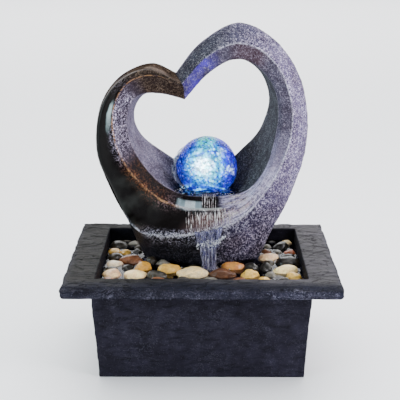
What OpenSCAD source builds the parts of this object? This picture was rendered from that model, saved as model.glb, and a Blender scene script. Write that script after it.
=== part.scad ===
// Tabletop water fountain: an upright open heart that holds a lit glass ball over a
// pebble-filled rectangular basin, with a submersible pump hidden under the pebbles.
// The fountain stands on z = 0 with its front towards -Y. Origin: centre of the rim's
// rectangle, at floor level. All sizes in millimetres.

/* [Base] */
// overall width of the slate-look rim
base_w = 216; // [180:1:260]
// overall depth of the rim
base_d = 165; // [140:1:200]
// height of the rim's top face
rim_top = 85; // [60:1:110]
// thickness of the rim slab
rim_t = 8; // [4:0.5:14]
// width of the opening in the rim
open_w = 166.6; // [140:0.2:200]
// front edge of the opening, measured from the centre
open_front = -58.1; // [-75:0.1:-40]
// back edge of the opening, measured from the centre
open_back = 68.1; // [40:0.1:75]
// wall thickness of the tub
wall = 3; // [2:0.5:6]
// thickness of the tub floor
floor_t = 3; // [2:0.5:6]
// inward draft of each side wall over the tub height
draft_side = 4; // [0:0.5:10]
// inward draft of the front wall over the tub height
draft_front = 2.5; // [0:0.5:8]
// inward draft of the back wall over the tub height
draft_back = 2; // [0:0.5:8]
// height of the rubber feet
foot_h = 2; // [1:0.5:6]
// radius of the rubber feet
foot_r = 8; // [4:0.5:12]

/* [Tray] */
// top face of the pebble tray
tray_top = 66; // [50:1:75]
// thickness of the tray plate
tray_t = 3; // [2:0.5:5]
// radius of the tray's drain holes
drain_r = 2; // [1:0.25:4]
// spacing of the drain holes
drain_pitch = 12; // [8:1:20]
// radius of the passage for the riser and the lamp lead
pass_r = 19; // [15:0.5:22]

/* [Heart] */
// how finely each of the heart's eighteen stations is divided
heart_steps = 4; // [2:1:6]
// how much the tops of the lobes fall towards the back
crown_fall = 3.2; // [0:0.1:5]
// height of the pads under the heart's foot
pad_h = 1; // [0.5:0.5:3]
// radius of the pads under the heart's foot
pad_r = 4; // [2:0.5:6]

/* [Ball] */
// radius of the crackled glass ball
ball_r = 25; // [20:0.5:28]
// ball centre, left to right
ball_x = 4; // [0:1:8]
// ball centre, front to back
ball_y = 31; // [28:1:34]
// ball centre height
ball_z = 152; // [148:1:156]
// gap between the ball and its seat
seat_gap = 0.3; // [0.1:0.05:1]

/* [Lamp] */
// outer radius of the lamp ring
lamp_r = 17.3; // [15:0.1:20]
// inner radius of the lamp ring
lamp_ri = 8.2; // [7:0.1:10]
// number of light-emitting diodes
led_count = 8; // [4:1:12]
// floor of the pocket that holds the lamp
pocket_z = 107; // [100:1:112]

/* [Pump] */
// height of the pump shaft above the floor the fountain stands on
shaft_z = 26; // [22:1:32]
// radius of the ceramic shaft
shaft_r = 1.5; // [1:0.25:2.5]
// running clearance of the impeller on the shaft
shaft_gap = 0.05; // [0.02:0.01:0.1]
// radius of the pump chamber outside
chamber_r = 16; // [13:0.5:20]
// radius of the impeller blades
blade_r = 11.5; // [8:0.5:13]
// number of impeller blades
blade_n = 6; // [4:1:8]
// width and height of the motor block
block_w = 34; // [28:1:40]
// back end of the motor block
block_end = 62; // [56:1:66]

/* [Hidden] */
$fn = 64;
eps = 0.01;

half_w = open_w / 2;
tub_floor = foot_h + floor_t;
foot_z = tray_top + pad_h;
inlet_x = 58;
inlet_z = 50;
lead_x = 16;
lead_y = 40;
lead_r = 1.8;
lead_bend = 5;
block_lo = shaft_z - block_w / 2;
block_hi = shaft_z + block_w / 2;

// ---------------------------------------------------------------- helpers
// box with drafted walls: top corners wt, front, back at z1, shrinking downwards
module drafted(wt, front, back, z0, z1, ds, df, db) {
  h = z1 - z0;
  difference() {
    translate([-wt, front, z0]) cube([2 * wt, back - front, h]);
    for (m = [0, 1]) mirror([m, 0, 0])
      translate([wt, -200, z1]) rotate([0, atan(ds / h), 0])
        translate([0, 0, -200]) cube([60, 400, 400]);
    translate([-200, front, z1]) rotate([atan(df / h), 0, 0])
      translate([0, -60, -200]) cube([400, 60, 400]);
    translate([-200, back, z1]) rotate([-atan(db / h), 0, 0])
      translate([0, 0, -200]) cube([400, 60, 400]);
  }
}

// square with rounded corners, centred
module rounded(w, h, r) {
  square([w, h - 2 * r], center = true);
  square([w - 2 * r, h], center = true);
  for (x = [-1, 1], y = [-1, 1]) translate([x * (w / 2 - r), y * (h / 2 - r)]) circle(r = r);
}

module ring(ro, ri, h) {
  linear_extrude(height = h) difference() { circle(r = ro); circle(r = ri); }
}

// lays a shape drawn along +Z down along the pump axis, starting at x
module on_shaft(x) { translate([x, ball_y, shaft_z]) rotate([0, 90, 0]) children(); }

// lays a shape drawn along +Z down along +Y through the power inlet
module on_inlet(y) { translate([inlet_x, y, inlet_z]) rotate([-90, 0, 0]) children(); }

// straight stretch of lead along +Z, and a quarter bend from +X towards +Y round the origin
module straight(l) { cylinder(r = lead_r, h = l); }
module bend() { rotate_extrude(angle = 90) translate([lead_bend, 0]) circle(r = lead_r); }

// ---------------------------------------------------------------- base
module tub_outside() {
  drafted(half_w + wall, open_front - wall, open_back + wall, foot_h, rim_top - 1,
          draft_side, draft_front, draft_back);
}

module basin() {
  color([0.17, 0.17, 0.21]) difference() {
    union() {
      tub_outside();
      difference() {
        translate([-base_w / 2, -base_d / 2, rim_top - rim_t]) cube([base_w, base_d, rim_t]);
        // broken edges all round the slab
        for (z = [rim_top - rim_t, rim_top]) {
          c = z == rim_top ? 1.4 : 2.8;
          for (x = [-1, 1]) translate([x * base_w / 2, 0, z]) rotate([0, 45, 0])
            cube([c, 400, c], center = true);
          for (y = [-1, 1]) translate([0, y * base_d / 2, z]) rotate([45, 0, 0])
            cube([400, c, c], center = true);
        }
      }
    }
    difference() {
      drafted(half_w, open_front, open_back, tub_floor, rim_top + 1,
              draft_side, draft_front, draft_back);
      // corner posts that carry the tray
      for (x = [-1, 1], y = [0, 1])
        translate([x * 83 - 10, y == 0 ? -70 : 57, 0]) cube([20, y == 0 ? 22 : 23, tray_top - tray_t]);
    }
    // hole and spot faces for the power inlet
    on_inlet(60) cylinder(r = 6, h = 20);
    on_inlet(open_back + 1.9) cylinder(r = 9.5, h = 3);
    on_inlet(open_back - 6) cylinder(r = 9.5, h = 5.4);
  }
}

module foot_pads() {
  color([0.08, 0.08, 0.08]) for (x = [-66, 66], y = [-44, 55])
    translate([x, y, 0]) {
      cylinder(r = foot_r, h = foot_h - 0.5);
      translate([0, 0, foot_h - 0.5]) cylinder(r = foot_r - 0.8, h = 0.5);
    }
}

// ---------------------------------------------------------------- power inlet
module inlet_shell() {
  color([0.12, 0.12, 0.13]) difference() {
    union() {
      on_inlet(open_back + 2.7) cylinder(r = 8, h = 2.2);
      on_inlet(60) cylinder(r = 5.9, h = open_back + 3 - 60);
    }
    on_inlet(62) cylinder(r = 2.75, h = 20);
  }
}

module inlet_pin() {
  color([0.75, 0.76, 0.78]) {
    on_inlet(62) cylinder(r = 1, h = 8);
    on_inlet(70) cylinder(r1 = 1, r2 = 0.6, h = 0.8);
  }
}

module inlet_seal() {
  color([0.06, 0.06, 0.06]) on_inlet(open_back + 1.9) ring(8, 6, 0.8);
}

module inlet_nut() {
  color([0.7, 0.71, 0.73]) on_inlet(open_back - 3.6) difference() {
    cylinder(r = 8.6, h = 3, $fn = 6);
    translate([0, 0, -1]) cylinder(r = 5.9, h = 5);
  }
}

// ---------------------------------------------------------------- pump body
module pump_housing() {
  color([0.13, 0.13, 0.14]) difference() {
    union() {
      on_shaft(12) linear_extrude(height = block_end - 12) rounded(block_w, block_w, 3);
      on_shaft(-5) cylinder(r = chamber_r, h = 18);
      translate([ball_x, ball_y, shaft_z + 8]) cylinder(r = 6, h = 21);
    }
    difference() {
      on_shaft(14) linear_extrude(height = block_end) rounded(block_w - 4, block_w - 4, 2);
      on_shaft(10) cylinder(r = 7.6, h = 32);
    }
    on_shaft(-6) cylinder(r = 13.5, h = 16);
    on_shaft(9) cylinder(r = 6.6, h = 31);
    translate([ball_x, ball_y, shaft_z + 9]) cylinder(r = 4, h = 30);
  }
}

module pump_back() {
  color([0.15, 0.15, 0.16]) {
    on_shaft(block_end) linear_extrude(height = 2) rounded(block_w, block_w, 3);
    on_shaft(block_end - 1.5) linear_extrude(height = 1.5) difference() {
      rounded(block_w - 4.4, block_w - 4.4, 2);
      rounded(block_w - 7, block_w - 7, 1);
    }
  }
}

module stator_core() {
  color([0.45, 0.45, 0.46]) difference() {
    union() {
      translate([15, ball_y - 14, shaft_z - 7]) cube([22, 28, 14]);
      for (s = [-1, 1]) translate([36, ball_y + s * 9 - 2.5, shaft_z - 7]) cube([24, 5, 14]);
      translate([55, ball_y - 11.5, shaft_z - 7]) cube([5, 23, 14]);
    }
    on_shaft(10) cylinder(r = 7.9, h = 32);
  }
}

module stator_coils() {
  color([0.72, 0.38, 0.16]) for (s = [-1, 1]) difference() {
    translate([43, ball_y + s * 9 - 5, shaft_z - 9.5]) cube([11, 10, 19]);
    translate([42, ball_y + s * 9 - 2.6, shaft_z - 7.1]) cube([13, 5.2, 14.2]);
  }
}

module pump_shaft() {
  color([0.92, 0.91, 0.88]) on_shaft(-4.5) cylinder(r = shaft_r, h = 44.5);
}

module shaft_bushes() {
  color([0.1, 0.1, 0.1]) {
    on_shaft(-4.5) ring(3, shaft_r, 2.5);
    on_shaft(37) ring(6.5, shaft_r, 3);
  }
}

module chamber_lid() {
  color([0.2, 0.2, 0.22]) difference() {
    union() {
      on_shaft(-7) ring(chamber_r, 8, 2);
      on_shaft(-5) ring(13.4, 11.8, 2);
      on_shaft(-7) ring(4.2, 3, 5);
      on_shaft(-7) cylinder(r = 4.2, h = 2);
      for (a = [0, 120, 240]) on_shaft(-7) rotate(a) translate([3.2, -1, 0]) cube([6, 2, 2]);
    }
    on_shaft(-5.6) ring(15.6, 13.9, 1);
  }
}

module chamber_seal() {
  color([0.65, 0.22, 0.15]) on_shaft(-5.6) ring(15.6, 13.9, 0.6);
}

module pump_feet() {
  color([0.09, 0.09, 0.1]) for (x = [20, 54], y = [20, 42])
    translate([x, y, tub_floor]) {
      cylinder(r1 = 6, r2 = 2.6, h = 3);
      translate([0, 0, 3]) cylinder(r = 2.6, h = block_lo - tub_floor - 3);
    }
}

module outlet_adapter() {
  color([0.85, 0.86, 0.86]) translate([ball_x, ball_y, 0]) difference() {
    union() {
      translate([0, 0, 46]) cylinder(r = 7.5, h = 11);
      translate([0, 0, 57]) cylinder(r = 4.9, h = 8);
    }
    translate([0, 0, 45]) cylinder(r = 6, h = 10);
    translate([0, 0, 44]) cylinder(r = 3.2, h = 30);
  }
}

module pump_lead() {
  x0 = block_end + 2;
  x1 = x0 + 5;
  x2 = x1 + lead_bend;
  z1 = shaft_z + lead_bend;
  y2 = ball_y + lead_bend;
  y3 = 60 - 4 - lead_bend;
  color([0.05, 0.05, 0.06]) {
    translate([x0, ball_y, shaft_z]) rotate([0, 90, 0]) straight(x1 - x0);
    translate([x1, ball_y, z1]) rotate([90, 0, 0]) rotate(-90) bend();
    translate([x2, ball_y, z1]) straight(inlet_z - lead_bend - z1);
    translate([x2, y2, inlet_z - lead_bend]) rotate([90, 0, 90]) rotate(90) bend();
    translate([x2, y2, inlet_z]) rotate([-90, 0, 0]) straight(y3 - lead_bend - y2);
    translate([x1, y3 - lead_bend, inlet_z]) bend();
    translate([x1, y3, inlet_z]) rotate([0, -90, 0]) straight(x1 - inlet_x - lead_bend);
    translate([inlet_x + lead_bend, y3 + lead_bend, inlet_z]) rotate(180) bend();
    translate([inlet_x, y3 + lead_bend, inlet_z]) rotate([-90, 0, 0]) straight(4);
  }
}

module lead_gland() {
  color([0.1, 0.1, 0.11]) on_shaft(block_end + 2) difference() {
    cylinder(r1 = 4.5, r2 = 3, h = 4);
    translate([0, 0, -1]) cylinder(r = lead_r, h = 7);
  }
}

module led_socket() {
  color([0.1, 0.1, 0.11]) translate([lead_x, lead_y, block_hi]) difference() {
    cylinder(r = 4, h = 11);
    translate([0, 0, 3]) cylinder(r = 2.05, h = 10);
  }
}

// ---------------------------------------------------------------- pump cover and slider
module pump_cover() {
  color([0.11, 0.11, 0.12]) difference() {
    union() {
      on_shaft(-22) cylinder(r = 18.5, h = 19.5);
      for (s = [-1, 1]) {
        translate([-24, ball_y + s * 7.4 - 1.1, 13]) cube([3, 2.2, 27]);
        translate([-25.2, ball_y + s * 6.6 - 1.9, 13]) cube([1.2, 3.8, 27]);
      }
    }
    on_shaft(-20) cylinder(r = chamber_r + 0.3, h = 20);
    for (y = [-4, 0, 4]) translate([-23, ball_y + y - 0.9, 14]) cube([5, 1.8, 11]);
    for (s = [-1, 1], y = [11, 14]) translate([-23, ball_y + s * y - 0.9, 19]) cube([5, 1.8, 14]);
    for (a = [0 : 30 : 330]) on_shaft(-17) rotate(a) translate([10, -1.2, 0]) cube([12, 2.4, 7]);
  }
}

module flow_slider() {
  color([0.16, 0.16, 0.18]) {
    translate([-23.8, ball_y - 6, 14]) cube([1.5, 12, 15]);
    translate([-27, ball_y, 24]) rotate([0, 90, 0]) cylinder(r = 2.5, h = 4);
  }
}

// ---------------------------------------------------------------- rotor
module rotor_magnet() {
  color([0.22, 0.21, 0.2]) on_shaft(14) ring(6, 3, 22);
}

module impeller_wheel() {
  color([0.88, 0.88, 0.86]) difference() {
    union() {
      on_shaft(-1.5) cylinder(r = 3, h = 38);
      on_shaft(8) cylinder(r = 6, h = 1);
      for (i = [0 : blade_n - 1]) on_shaft(0) rotate(i * 360 / blade_n)
        translate([0, -0.6, 0]) cube([blade_r, 1.2, 8.2]);
    }
    on_shaft(-3) cylinder(r = shaft_r + shaft_gap, h = 42);
  }
}

// ---------------------------------------------------------------- tray
module pebble_tray() {
  color([0.09, 0.1, 0.11]) {
    difference() {
      translate([-81.6, -56.9, tray_top - tray_t]) linear_extrude(height = tray_t) difference() {
        square([163.2, 123.9]);
        for (i = [0 : 12], j = [0 : 9]) {
          x = 9.6 + drain_pitch * i;
          y = 8 + drain_pitch * j;
          if (norm([x - 87.6, y - 88.9]) > pass_r + 5) translate([x, y]) circle(r = drain_r);
        }
      }
      translate([6, 32, 50]) cylinder(r = pass_r, h = 30);
    }
    // stiffening ribs under the plate
    for (y = [3, 56]) translate([-70, y, tray_top - tray_t - 6]) cube([140, 3, 6]);
  }
}

// pebbles: [x, y, length, width, height, turn]
module stones(list) {
  for (s = list) translate([s[0], s[1], tray_top + s[4] / 2 + 0.02]) rotate(s[5])
    scale([s[2] / 10, s[3] / 10, s[4] / 10]) sphere(r = 5);
}

cream_stones = [
  [-74, 5, 15, 14, 10, 20], [-74, -20, 15, 16, 11, 0], [-55, -22, 19, 15, 12, 15],
  [-7, -20, 24, 17, 14, 5], [57, 20, 17, 14, 11, 30], [69, -12, 20, 13, 12, 10],
  [-68, -48, 16, 12, 9, 20], [-21, -47, 17, 12, 10, -10], [35, -46, 18, 12, 10, 0],
  [-50, 62, 14, 9, 9, 0], [75, 62, 12, 9, 9, 0], [10, -50, 14, 10, 9, 15]];

amber_stones = [
  [-66, 32, 9, 9, 10, 0], [-49, -5, 14, 12, 12, 30], [-27, -11, 18, 12, 13, 10],
  [26, -4, 18, 10, 12, 0], [39, -22, 15, 12, 12, 40], [75, -26, 12, 11, 11, 0],
  [-52, -48, 13, 11, 9, 0], [50, -33, 12, 11, 10, 60], [-76, 35, 11, 12, 10, 0],
  [64, -47, 15, 11, 9, -20], [-20, 62, 15, 7, 8, 0]];

brown_stones = [
  [-59, 13, 20, 13, 12, 5], [17, -21, 20, 13, 13, -8], [30, -34, 13, 10, 10, 20],
  [-36, -38, 17, 12, 11, -15], [-75, -35, 13, 11, 10, 0], [76, 33, 10, 11, 10, 0],
  [56, 34, 10, 10, 10, 0], [20, 62, 16, 7, 8, 0], [77, -43, 9, 11, 9, 0],
  [-38, -50, 13, 9, 8, 0]];

grey_stones = [
  [-61, 56, 10, 10, 10, 0], [-33, 5, 12, 9, 11, 0], [-37, -24, 16, 12, 12, -10],
  [58, 50, 9, 8, 9, 0], [6, -36, 16, 11, 10, 0], [56, -22, 9, 9, 10, 0],
  [66, 34, 8, 10, 9, 0], [-76, -7, 12, 9, 9, 0], [50, -50, 11, 9, 8, 0],
  [-15, -33, 12, 10, 10, 0], [0, 64, 14, 5, 7, 0]];

dark_stones = [
  [-74, 53, 15, 14, 11, 0], [-54, 46, 11, 10, 10, 0], [-43, 9, 9, 8, 12, 0],
  [9, -6, 10, 9, 10, 0], [41, -6, 11, 12, 12, 0], [53, -6, 10, 12, 12, 0],
  [70, 48, 14, 13, 12, 20], [72, 6, 20, 13, 13, -8], [-62, -5, 10, 12, 10, 0],
  [-7, -5, 14, 9, 10, 0], [-57, -36, 14, 11, 10, 10], [22, -49, 7, 9, 8, 0],
  [-5, -51, 12, 9, 8, 0], [56, 6, 10, 12, 10, 0], [-56, 34, 8, 11, 10, 0],
  [62, 63, 9, 7, 8, 0], [-68, 64, 11, 6, 8, 0], [48, 62, 14, 9, 9, 0],
  [74, 21, 12, 11, 10, 0], [66, -35, 11, 10, 10, 0], [-75, 21, 12, 13, 11, 0]];

module pebbles_cream() { color([0.78, 0.7, 0.58]) stones(cream_stones); }
module pebbles_amber() { color([0.62, 0.36, 0.14]) stones(amber_stones); }
module pebbles_brown() { color([0.4, 0.22, 0.12]) stones(brown_stones); }
module pebbles_grey() { color([0.5, 0.49, 0.46]) stones(grey_stones); }
module pebbles_dark() { color([0.12, 0.13, 0.12]) stones(dark_stones); }

// ---------------------------------------------------------------- heart
// Stations round the heart from the notch, down the left lobe, under the ball and up the
// right lobe. Each: outer edge, front ridge, inner ridge, inner front edge, inner back
// edge, as [x, z] pairs. A missing ridge falls on the face between its neighbours.
heart_plan = [
  [[-22, 232], [-16, 227], [-15, 225], [-14, 213], [-15, 211]],
  [[-43, 240], 0, [-38, 234], [-35, 218], [-35, 212]],
  [[-68, 229], 0, [-59, 228], [-51, 216], [-50, 208]],
  [[-84, 204], 0, [-71, 207], [-60, 203], [-57, 197]],
  [[-87, 168], 0, [-70, 179], [-60, 184], [-57, 184]],
  [[-78, 137], [-73, 140], [-59, 156], [-52, 165], [-49, 171]],
  [[-65, 111], [-57, 108], [-40, 136], [-36, 145], [-31, 158]],
  [[-42, foot_z], [-36, 101], [-18, 125], [-16, 134], [-13, 148]],
  [[3, foot_z], [-4, 103], [3, 122], [3, 132.5], [4, 146]],
  [[42, foot_z], [24, 111], [22, 124], [21, 133], [20, 151]],
  [[61, 101], [44, 128], [39, 133], [39, 138], [36, 165]],
  [[75, 131], [61, 154], 0, [53, 157], [48, 178]],
  [[85, 163], [71, 182], 0, [60, 183], [55, 195]],
  [[87, 197], [72, 208], 0, [62, 206], [56, 210]],
  [[79, 231], [63, 236], 0, [56, 226], [50, 226]],
  [[59, 259], [46, 254], 0, [41, 242], [38, 237]],
  [[30, 273], [25, 259], 0, [24, 245], [22, 240]],
  [[0, 258], [3, 248], 0, [6, 235], [6, 230]]];
stations = len(heart_plan);

// dip of the inner face at the stations under the ball: [x, y, z] front and back
cup_dip = [[6, [-33, 20, 146], [-31, 44, 149]], [7, [-15, 15, 125], [-14, 47, 125]],
           [8, [3, 14, 124], [3.5, 48, 124]], [9, [20.5, 15, 125], [20, 47, 126]],
           [10, [36, 20, 140], [34.5, 44, 147]]];

function fill(a, b, t) = a + t * (b - a);
function at(p, y) = [p[0], y, p[1]];
// the tops of the lobes fall slightly towards the back
function crown(z) = crown_fall * min(1, max(0, (z - 190) / 40));
function low(k) = k == 8 ? 2 : k == 7 || k == 9 ? 1 : 0;
function dips(k) = [for (c = cup_dip) if (c[0] == k) c];
function section(k) =
  let (s = heart_plan[k][0], e = heart_plan[k][3], h = heart_plan[k][4],
       b0 = heart_plan[k][2], w0 = heart_plan[k][1],
       w = is_num(w0) ? fill(s, b0, 0.12) : w0,
       b = is_num(b0) ? fill(e, w, 0.15) : b0,
       n = low(k), d = dips(k), back = n > 0 ? 60 : 56,
       f1 = len(d) > 0 ? d[0][1] : at(fill(e, h, 0.33), 24.5),
       f2 = len(d) > 0 ? d[0][2] : at(fill(e, h, 0.67), 40.5))
  [at(h, back), f2, f1, at(e, 9 - n / 2), at(b, 1), at(w, n > 0 ? -3 : 0),
   at(s, n == 2 ? 6 : 20), at(s - [0, crown(s[1])], n == 2 ? 58 : n == 1 ? 46 : 48),
   at(fill(h, s, 0.4), 62)];
heart_cage = [for (k = [0 : stations - 1]) section(k)];

// the notch is a sharp corner, so the curve is open there
function knot(k) = k < 0 ? 2 * heart_cage[0] - heart_cage[1]
                 : k > stations ? 2 * heart_cage[0] - heart_cage[stations - 1]
                 : heart_cage[k % stations];
function curve(p0, p1, p2, p3, t) =
  0.5 * (2 * p1 + (p2 - p0) * t + (2 * p0 - 5 * p1 + 4 * p2 - p3) * t * t
         + (3 * p1 - p0 - 3 * p2 + p3) * t * t * t);
function grounded(ps) = [for (p = ps) [p[0], p[1], max(p[2], foot_z)]];
heart_rings = [for (k = [0 : stations - 1], j = [0 : heart_steps - 1])
  grounded(curve(knot(k - 1), knot(k), knot(k + 1), knot(k + 2), j / heart_steps))];

module heart_body() {
  n = len(heart_rings);
  m = len(heart_rings[0]);
  points = [for (r = heart_rings) each r];
  faces = [for (i = [0 : n - 1], j = [0 : m - 1], f = [0, 1])
    let (a = i * m + j, b = i * m + (j + 1) % m,
         c = ((i + 1) % n) * m + (j + 1) % m, d = ((i + 1) % n) * m + j)
    f == 0 ? [a, b, c] : [a, c, d]];
  polyhedron(points = points, faces = faces);
}

module heart_sculpture() {
  color([0.32, 0.28, 0.34]) difference() {
    heart_body();
    translate([ball_x, ball_y, pocket_z]) cylinder(r = lamp_r + 0.3, h = 45);
    translate([ball_x, ball_y, 60]) cylinder(r = 7, h = 60);
    translate([lead_x, lead_y, 60]) cylinder(r = 2.5, h = 60);
  }
}

module heart_pads() {
  color([0.08, 0.08, 0.08]) for (x = [-28, 33], y = [22, 42])
    translate([x, y, tray_top]) cylinder(r = pad_r, h = pad_h);
}

// ---------------------------------------------------------------- water path in the heart
module riser_tube() {
  color([0.8, 0.85, 0.86, 0.5]) translate([ball_x, ball_y, 57.2]) ring(6.5, 4.95, 48.6);
}

module nozzle_insert() {
  color([0.1, 0.1, 0.11]) translate([ball_x, ball_y, 0]) difference() {
    union() {
      translate([0, 0, 98]) cylinder(r = 4.9, h = 10);
      translate([0, 0, pocket_z]) cylinder(r = 7.8, h = 14);
      translate([0, 0, pocket_z + 14]) cylinder(r1 = 7.8, r2 = 4, h = 4);
    }
    translate([0, 0, 97]) cylinder(r = 2.5, h = 40);
  }
}

// ---------------------------------------------------------------- lamp ring
module led_housing() {
  color([0.85, 0.85, 0.84]) translate([ball_x, ball_y, pocket_z + 1]) {
    ring(lamp_r, lamp_ri, 1.2);
    ring(lamp_r, lamp_r - 1.2, 11);
    ring(lamp_ri + 1.2, lamp_ri, 11);
  }
}

module led_board() {
  color([0.1, 0.35, 0.18]) translate([ball_x, ball_y, pocket_z + 5])
    ring(lamp_r - 1.4, lamp_ri + 1.4, 1.4);
}

module led_bulbs() {
  color([0.85, 0.92, 1]) translate([ball_x, ball_y, pocket_z + 6.4])
    for (i = [0 : led_count - 1]) rotate(i * 360 / led_count) translate([12.7, 0, 0]) {
      cylinder(r = 1.5, h = 1.5);
      translate([0, 0, 1.5]) intersection() {
        sphere(r = 1.5);
        cylinder(r = 2, h = 3);
      }
    }
}

module led_lens() {
  color([0.8, 0.9, 1, 0.5]) translate([ball_x, ball_y, pocket_z + 12]) ring(lamp_r, lamp_ri, 2);
}

module led_seal() {
  color([0.06, 0.06, 0.06]) translate([ball_x, ball_y, pocket_z]) difference() {
    ring(16, 9, 1);
    translate([lead_x - ball_x, lead_y - ball_y, -1]) cylinder(r = 1.6, h = 3);
  }
}

module led_lead() {
  color([0.05, 0.05, 0.06]) translate([lead_x, lead_y, block_hi + 19])
    cylinder(r = 1.4, h = pocket_z + 1 - block_hi - 19);
}

module led_plug() {
  color([0.1, 0.1, 0.11]) translate([lead_x, lead_y, block_hi]) {
    translate([0, 0, 4]) cylinder(r = 2, h = 8);
    translate([0, 0, 11.3]) cylinder(r = 3.6, h = 6);
    translate([0, 0, 17.3]) cylinder(r1 = 3.6, r2 = 2, h = 1.7);
  }
}

// ---------------------------------------------------------------- ball and seat
module ball_seat() {
  color([0.75, 0.8, 0.84, 0.6]) difference() {
    translate([ball_x, ball_y, pocket_z + 14]) ring(lamp_r, 13.6, 12);
    translate([ball_x, ball_y, ball_z]) sphere(r = ball_r + seat_gap);
    for (a = [45, 135]) translate([ball_x, ball_y, pocket_z + 20]) rotate(a)
      translate([-30, -2, 0]) cube([60, 4, 12]);
  }
}

module crystal_ball() {
  color([0.5, 0.7, 0.95, 0.6]) translate([ball_x, ball_y, ball_z]) sphere(r = ball_r);
}

basin();
foot_pads();
inlet_shell();
inlet_pin();
inlet_seal();
inlet_nut();
pump_housing();
pump_back();
stator_core();
stator_coils();
pump_shaft();
shaft_bushes();
chamber_lid();
chamber_seal();
pump_feet();
outlet_adapter();
pump_lead();
lead_gland();
led_socket();
pebble_tray();
pebbles_cream();
pebbles_amber();
pebbles_brown();
pebbles_grey();
pebbles_dark();
heart_sculpture();
heart_pads();
nozzle_insert();
riser_tube();
led_housing();
led_board();
led_bulbs();
led_lens();
led_seal();
led_lead();
led_plug();
ball_seat();
crystal_ball();
rotor_magnet();
impeller_wheel();
pump_cover();
flow_slider();
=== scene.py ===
"""Looks of the tabletop water fountain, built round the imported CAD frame. Metres, +Z up, front towards -Y."""
import math
from itertools import product

import bmesh
import bpy
import numpy as np
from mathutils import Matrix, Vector


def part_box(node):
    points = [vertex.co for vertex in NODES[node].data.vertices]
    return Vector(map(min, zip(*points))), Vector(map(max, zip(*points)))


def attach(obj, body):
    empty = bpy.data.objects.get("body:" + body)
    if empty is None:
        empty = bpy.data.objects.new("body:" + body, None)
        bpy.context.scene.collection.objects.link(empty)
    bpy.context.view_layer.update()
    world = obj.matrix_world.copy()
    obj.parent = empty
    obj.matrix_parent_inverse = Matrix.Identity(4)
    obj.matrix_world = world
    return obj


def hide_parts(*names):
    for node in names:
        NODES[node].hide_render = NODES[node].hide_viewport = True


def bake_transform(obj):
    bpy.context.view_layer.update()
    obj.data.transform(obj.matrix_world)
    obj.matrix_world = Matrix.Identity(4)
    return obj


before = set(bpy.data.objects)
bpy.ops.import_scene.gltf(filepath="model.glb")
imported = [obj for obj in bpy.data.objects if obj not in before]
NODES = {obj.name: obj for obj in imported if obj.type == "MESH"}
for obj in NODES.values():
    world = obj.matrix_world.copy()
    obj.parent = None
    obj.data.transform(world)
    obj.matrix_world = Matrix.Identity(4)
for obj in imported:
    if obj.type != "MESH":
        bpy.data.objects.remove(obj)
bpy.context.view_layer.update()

MM = 0.001
SEED = 7


def box_mm(node):
    """Lowest and highest corner of a CAD node, in millimetres."""
    return [np.array(corner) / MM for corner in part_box(node)]


# ---- numbers: noise fields
def smooth(lo, hi, x):
    """0 at lo and beyond, 1 at hi and beyond, and a smooth step between them."""
    t = np.clip((np.asarray(x, float) - lo) / (hi - lo), 0, 1)
    return t * t * (3 - 2 * t)


def mix(a, b, t):
    a = np.asarray(a)
    return a + (np.asarray(b) - a) * t


def layered(base, layers):
    """Colours laid over each other, each by its own mask."""
    tone = base
    for mask, colour in layers:
        tone = mix(tone, colour, np.clip(mask, 0, 1)[:, None])
    return tone


def scramble(ix, iy, iz, seed):
    """A repeatable 32-bit number for each grid cell."""
    h = (ix * 374761393 + iy * 668265263 + iz * 1440662683 + seed * 974634777) & 0xFFFFFFFF
    h = ((h ^ (h >> 13)) * 1274126177) & 0xFFFFFFFF
    h = ((h ^ (h >> 16)) * 2246822519) & 0xFFFFFFFF
    return h ^ (h >> 15)


def noise3(p, seed=0):
    """Gradient noise, about -1 to 1, one feature per unit."""
    cell = np.floor(p).astype(np.int64)
    f = p - cell
    w = f * f * f * (f * (f * 6 - 15) + 10)
    total = np.zeros(len(p))
    for dx, dy, dz in product((0, 1), repeat=3):
        h = scramble(cell[:, 0] + dx, cell[:, 1] + dy, cell[:, 2] + dz, seed)
        z = (h & 0xFFFF) / 32767.5 - 1
        a = (h >> 16) / 65536 * 2 * math.pi
        r = np.sqrt(np.maximum(0, 1 - z * z))
        dot = r * np.cos(a) * (f[:, 0] - dx) + r * np.sin(a) * (f[:, 1] - dy) + z * (f[:, 2] - dz)
        wx, wy, wz = (w[:, i] if d else 1 - w[:, i] for i, d in enumerate((dx, dy, dz)))
        total += wx * wy * wz * dot
    return total * 1.6


def fbm(p, octaves=4, seed=0):
    """Octaves of noise, each half as strong and twice as fine as the one before."""
    return sum(noise3(p * 2**k, seed + k) * 0.5**k for k in range(octaves))


def cells(p, seed=0):
    """Distance to the nearest and second nearest jittered cell centre, and the cell's random number."""
    cell = np.floor(p).astype(np.int64)
    near, second, tag = np.full(len(p), 9.0), np.full(len(p), 9.0), np.zeros(len(p))
    for step in product((-1, 0, 1), repeat=3):
        c = cell + np.array(step)
        h = scramble(*c.T, seed)
        jitter = np.stack([(h & 1023), (h >> 10) & 1023, (h >> 20) & 1023], 1) / 1023
        d = np.linalg.norm(p - c - jitter, axis=1)
        closer = d < near
        second = np.where(closer, near, np.minimum(second, d))
        tag = np.where(closer, (h & 0xFFF) / 4095, tag)
        near = np.where(closer, d, near)
    return near, second, tag


# ---- mesh helpers
def link(name, data):
    obj = bpy.data.objects.new(name, data)
    bpy.context.scene.collection.objects.link(obj)
    return obj


def mesh_object(name, verts, faces, shade_smooth=True):
    mesh = bpy.data.meshes.new(name)
    mesh.from_pydata([tuple(v) for v in verts], [], [tuple(f) for f in faces])
    mesh.update()
    mesh.shade_smooth() if shade_smooth else mesh.shade_flat()
    return link(name, mesh)


def vectors(mesh, kind="co"):
    """The points of a mesh, or its normals."""
    out = np.empty(len(mesh.vertices) * 3, np.float32)
    mesh.vertices.foreach_get(kind, out)
    return out.reshape(-1, 3).astype(float)


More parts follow.
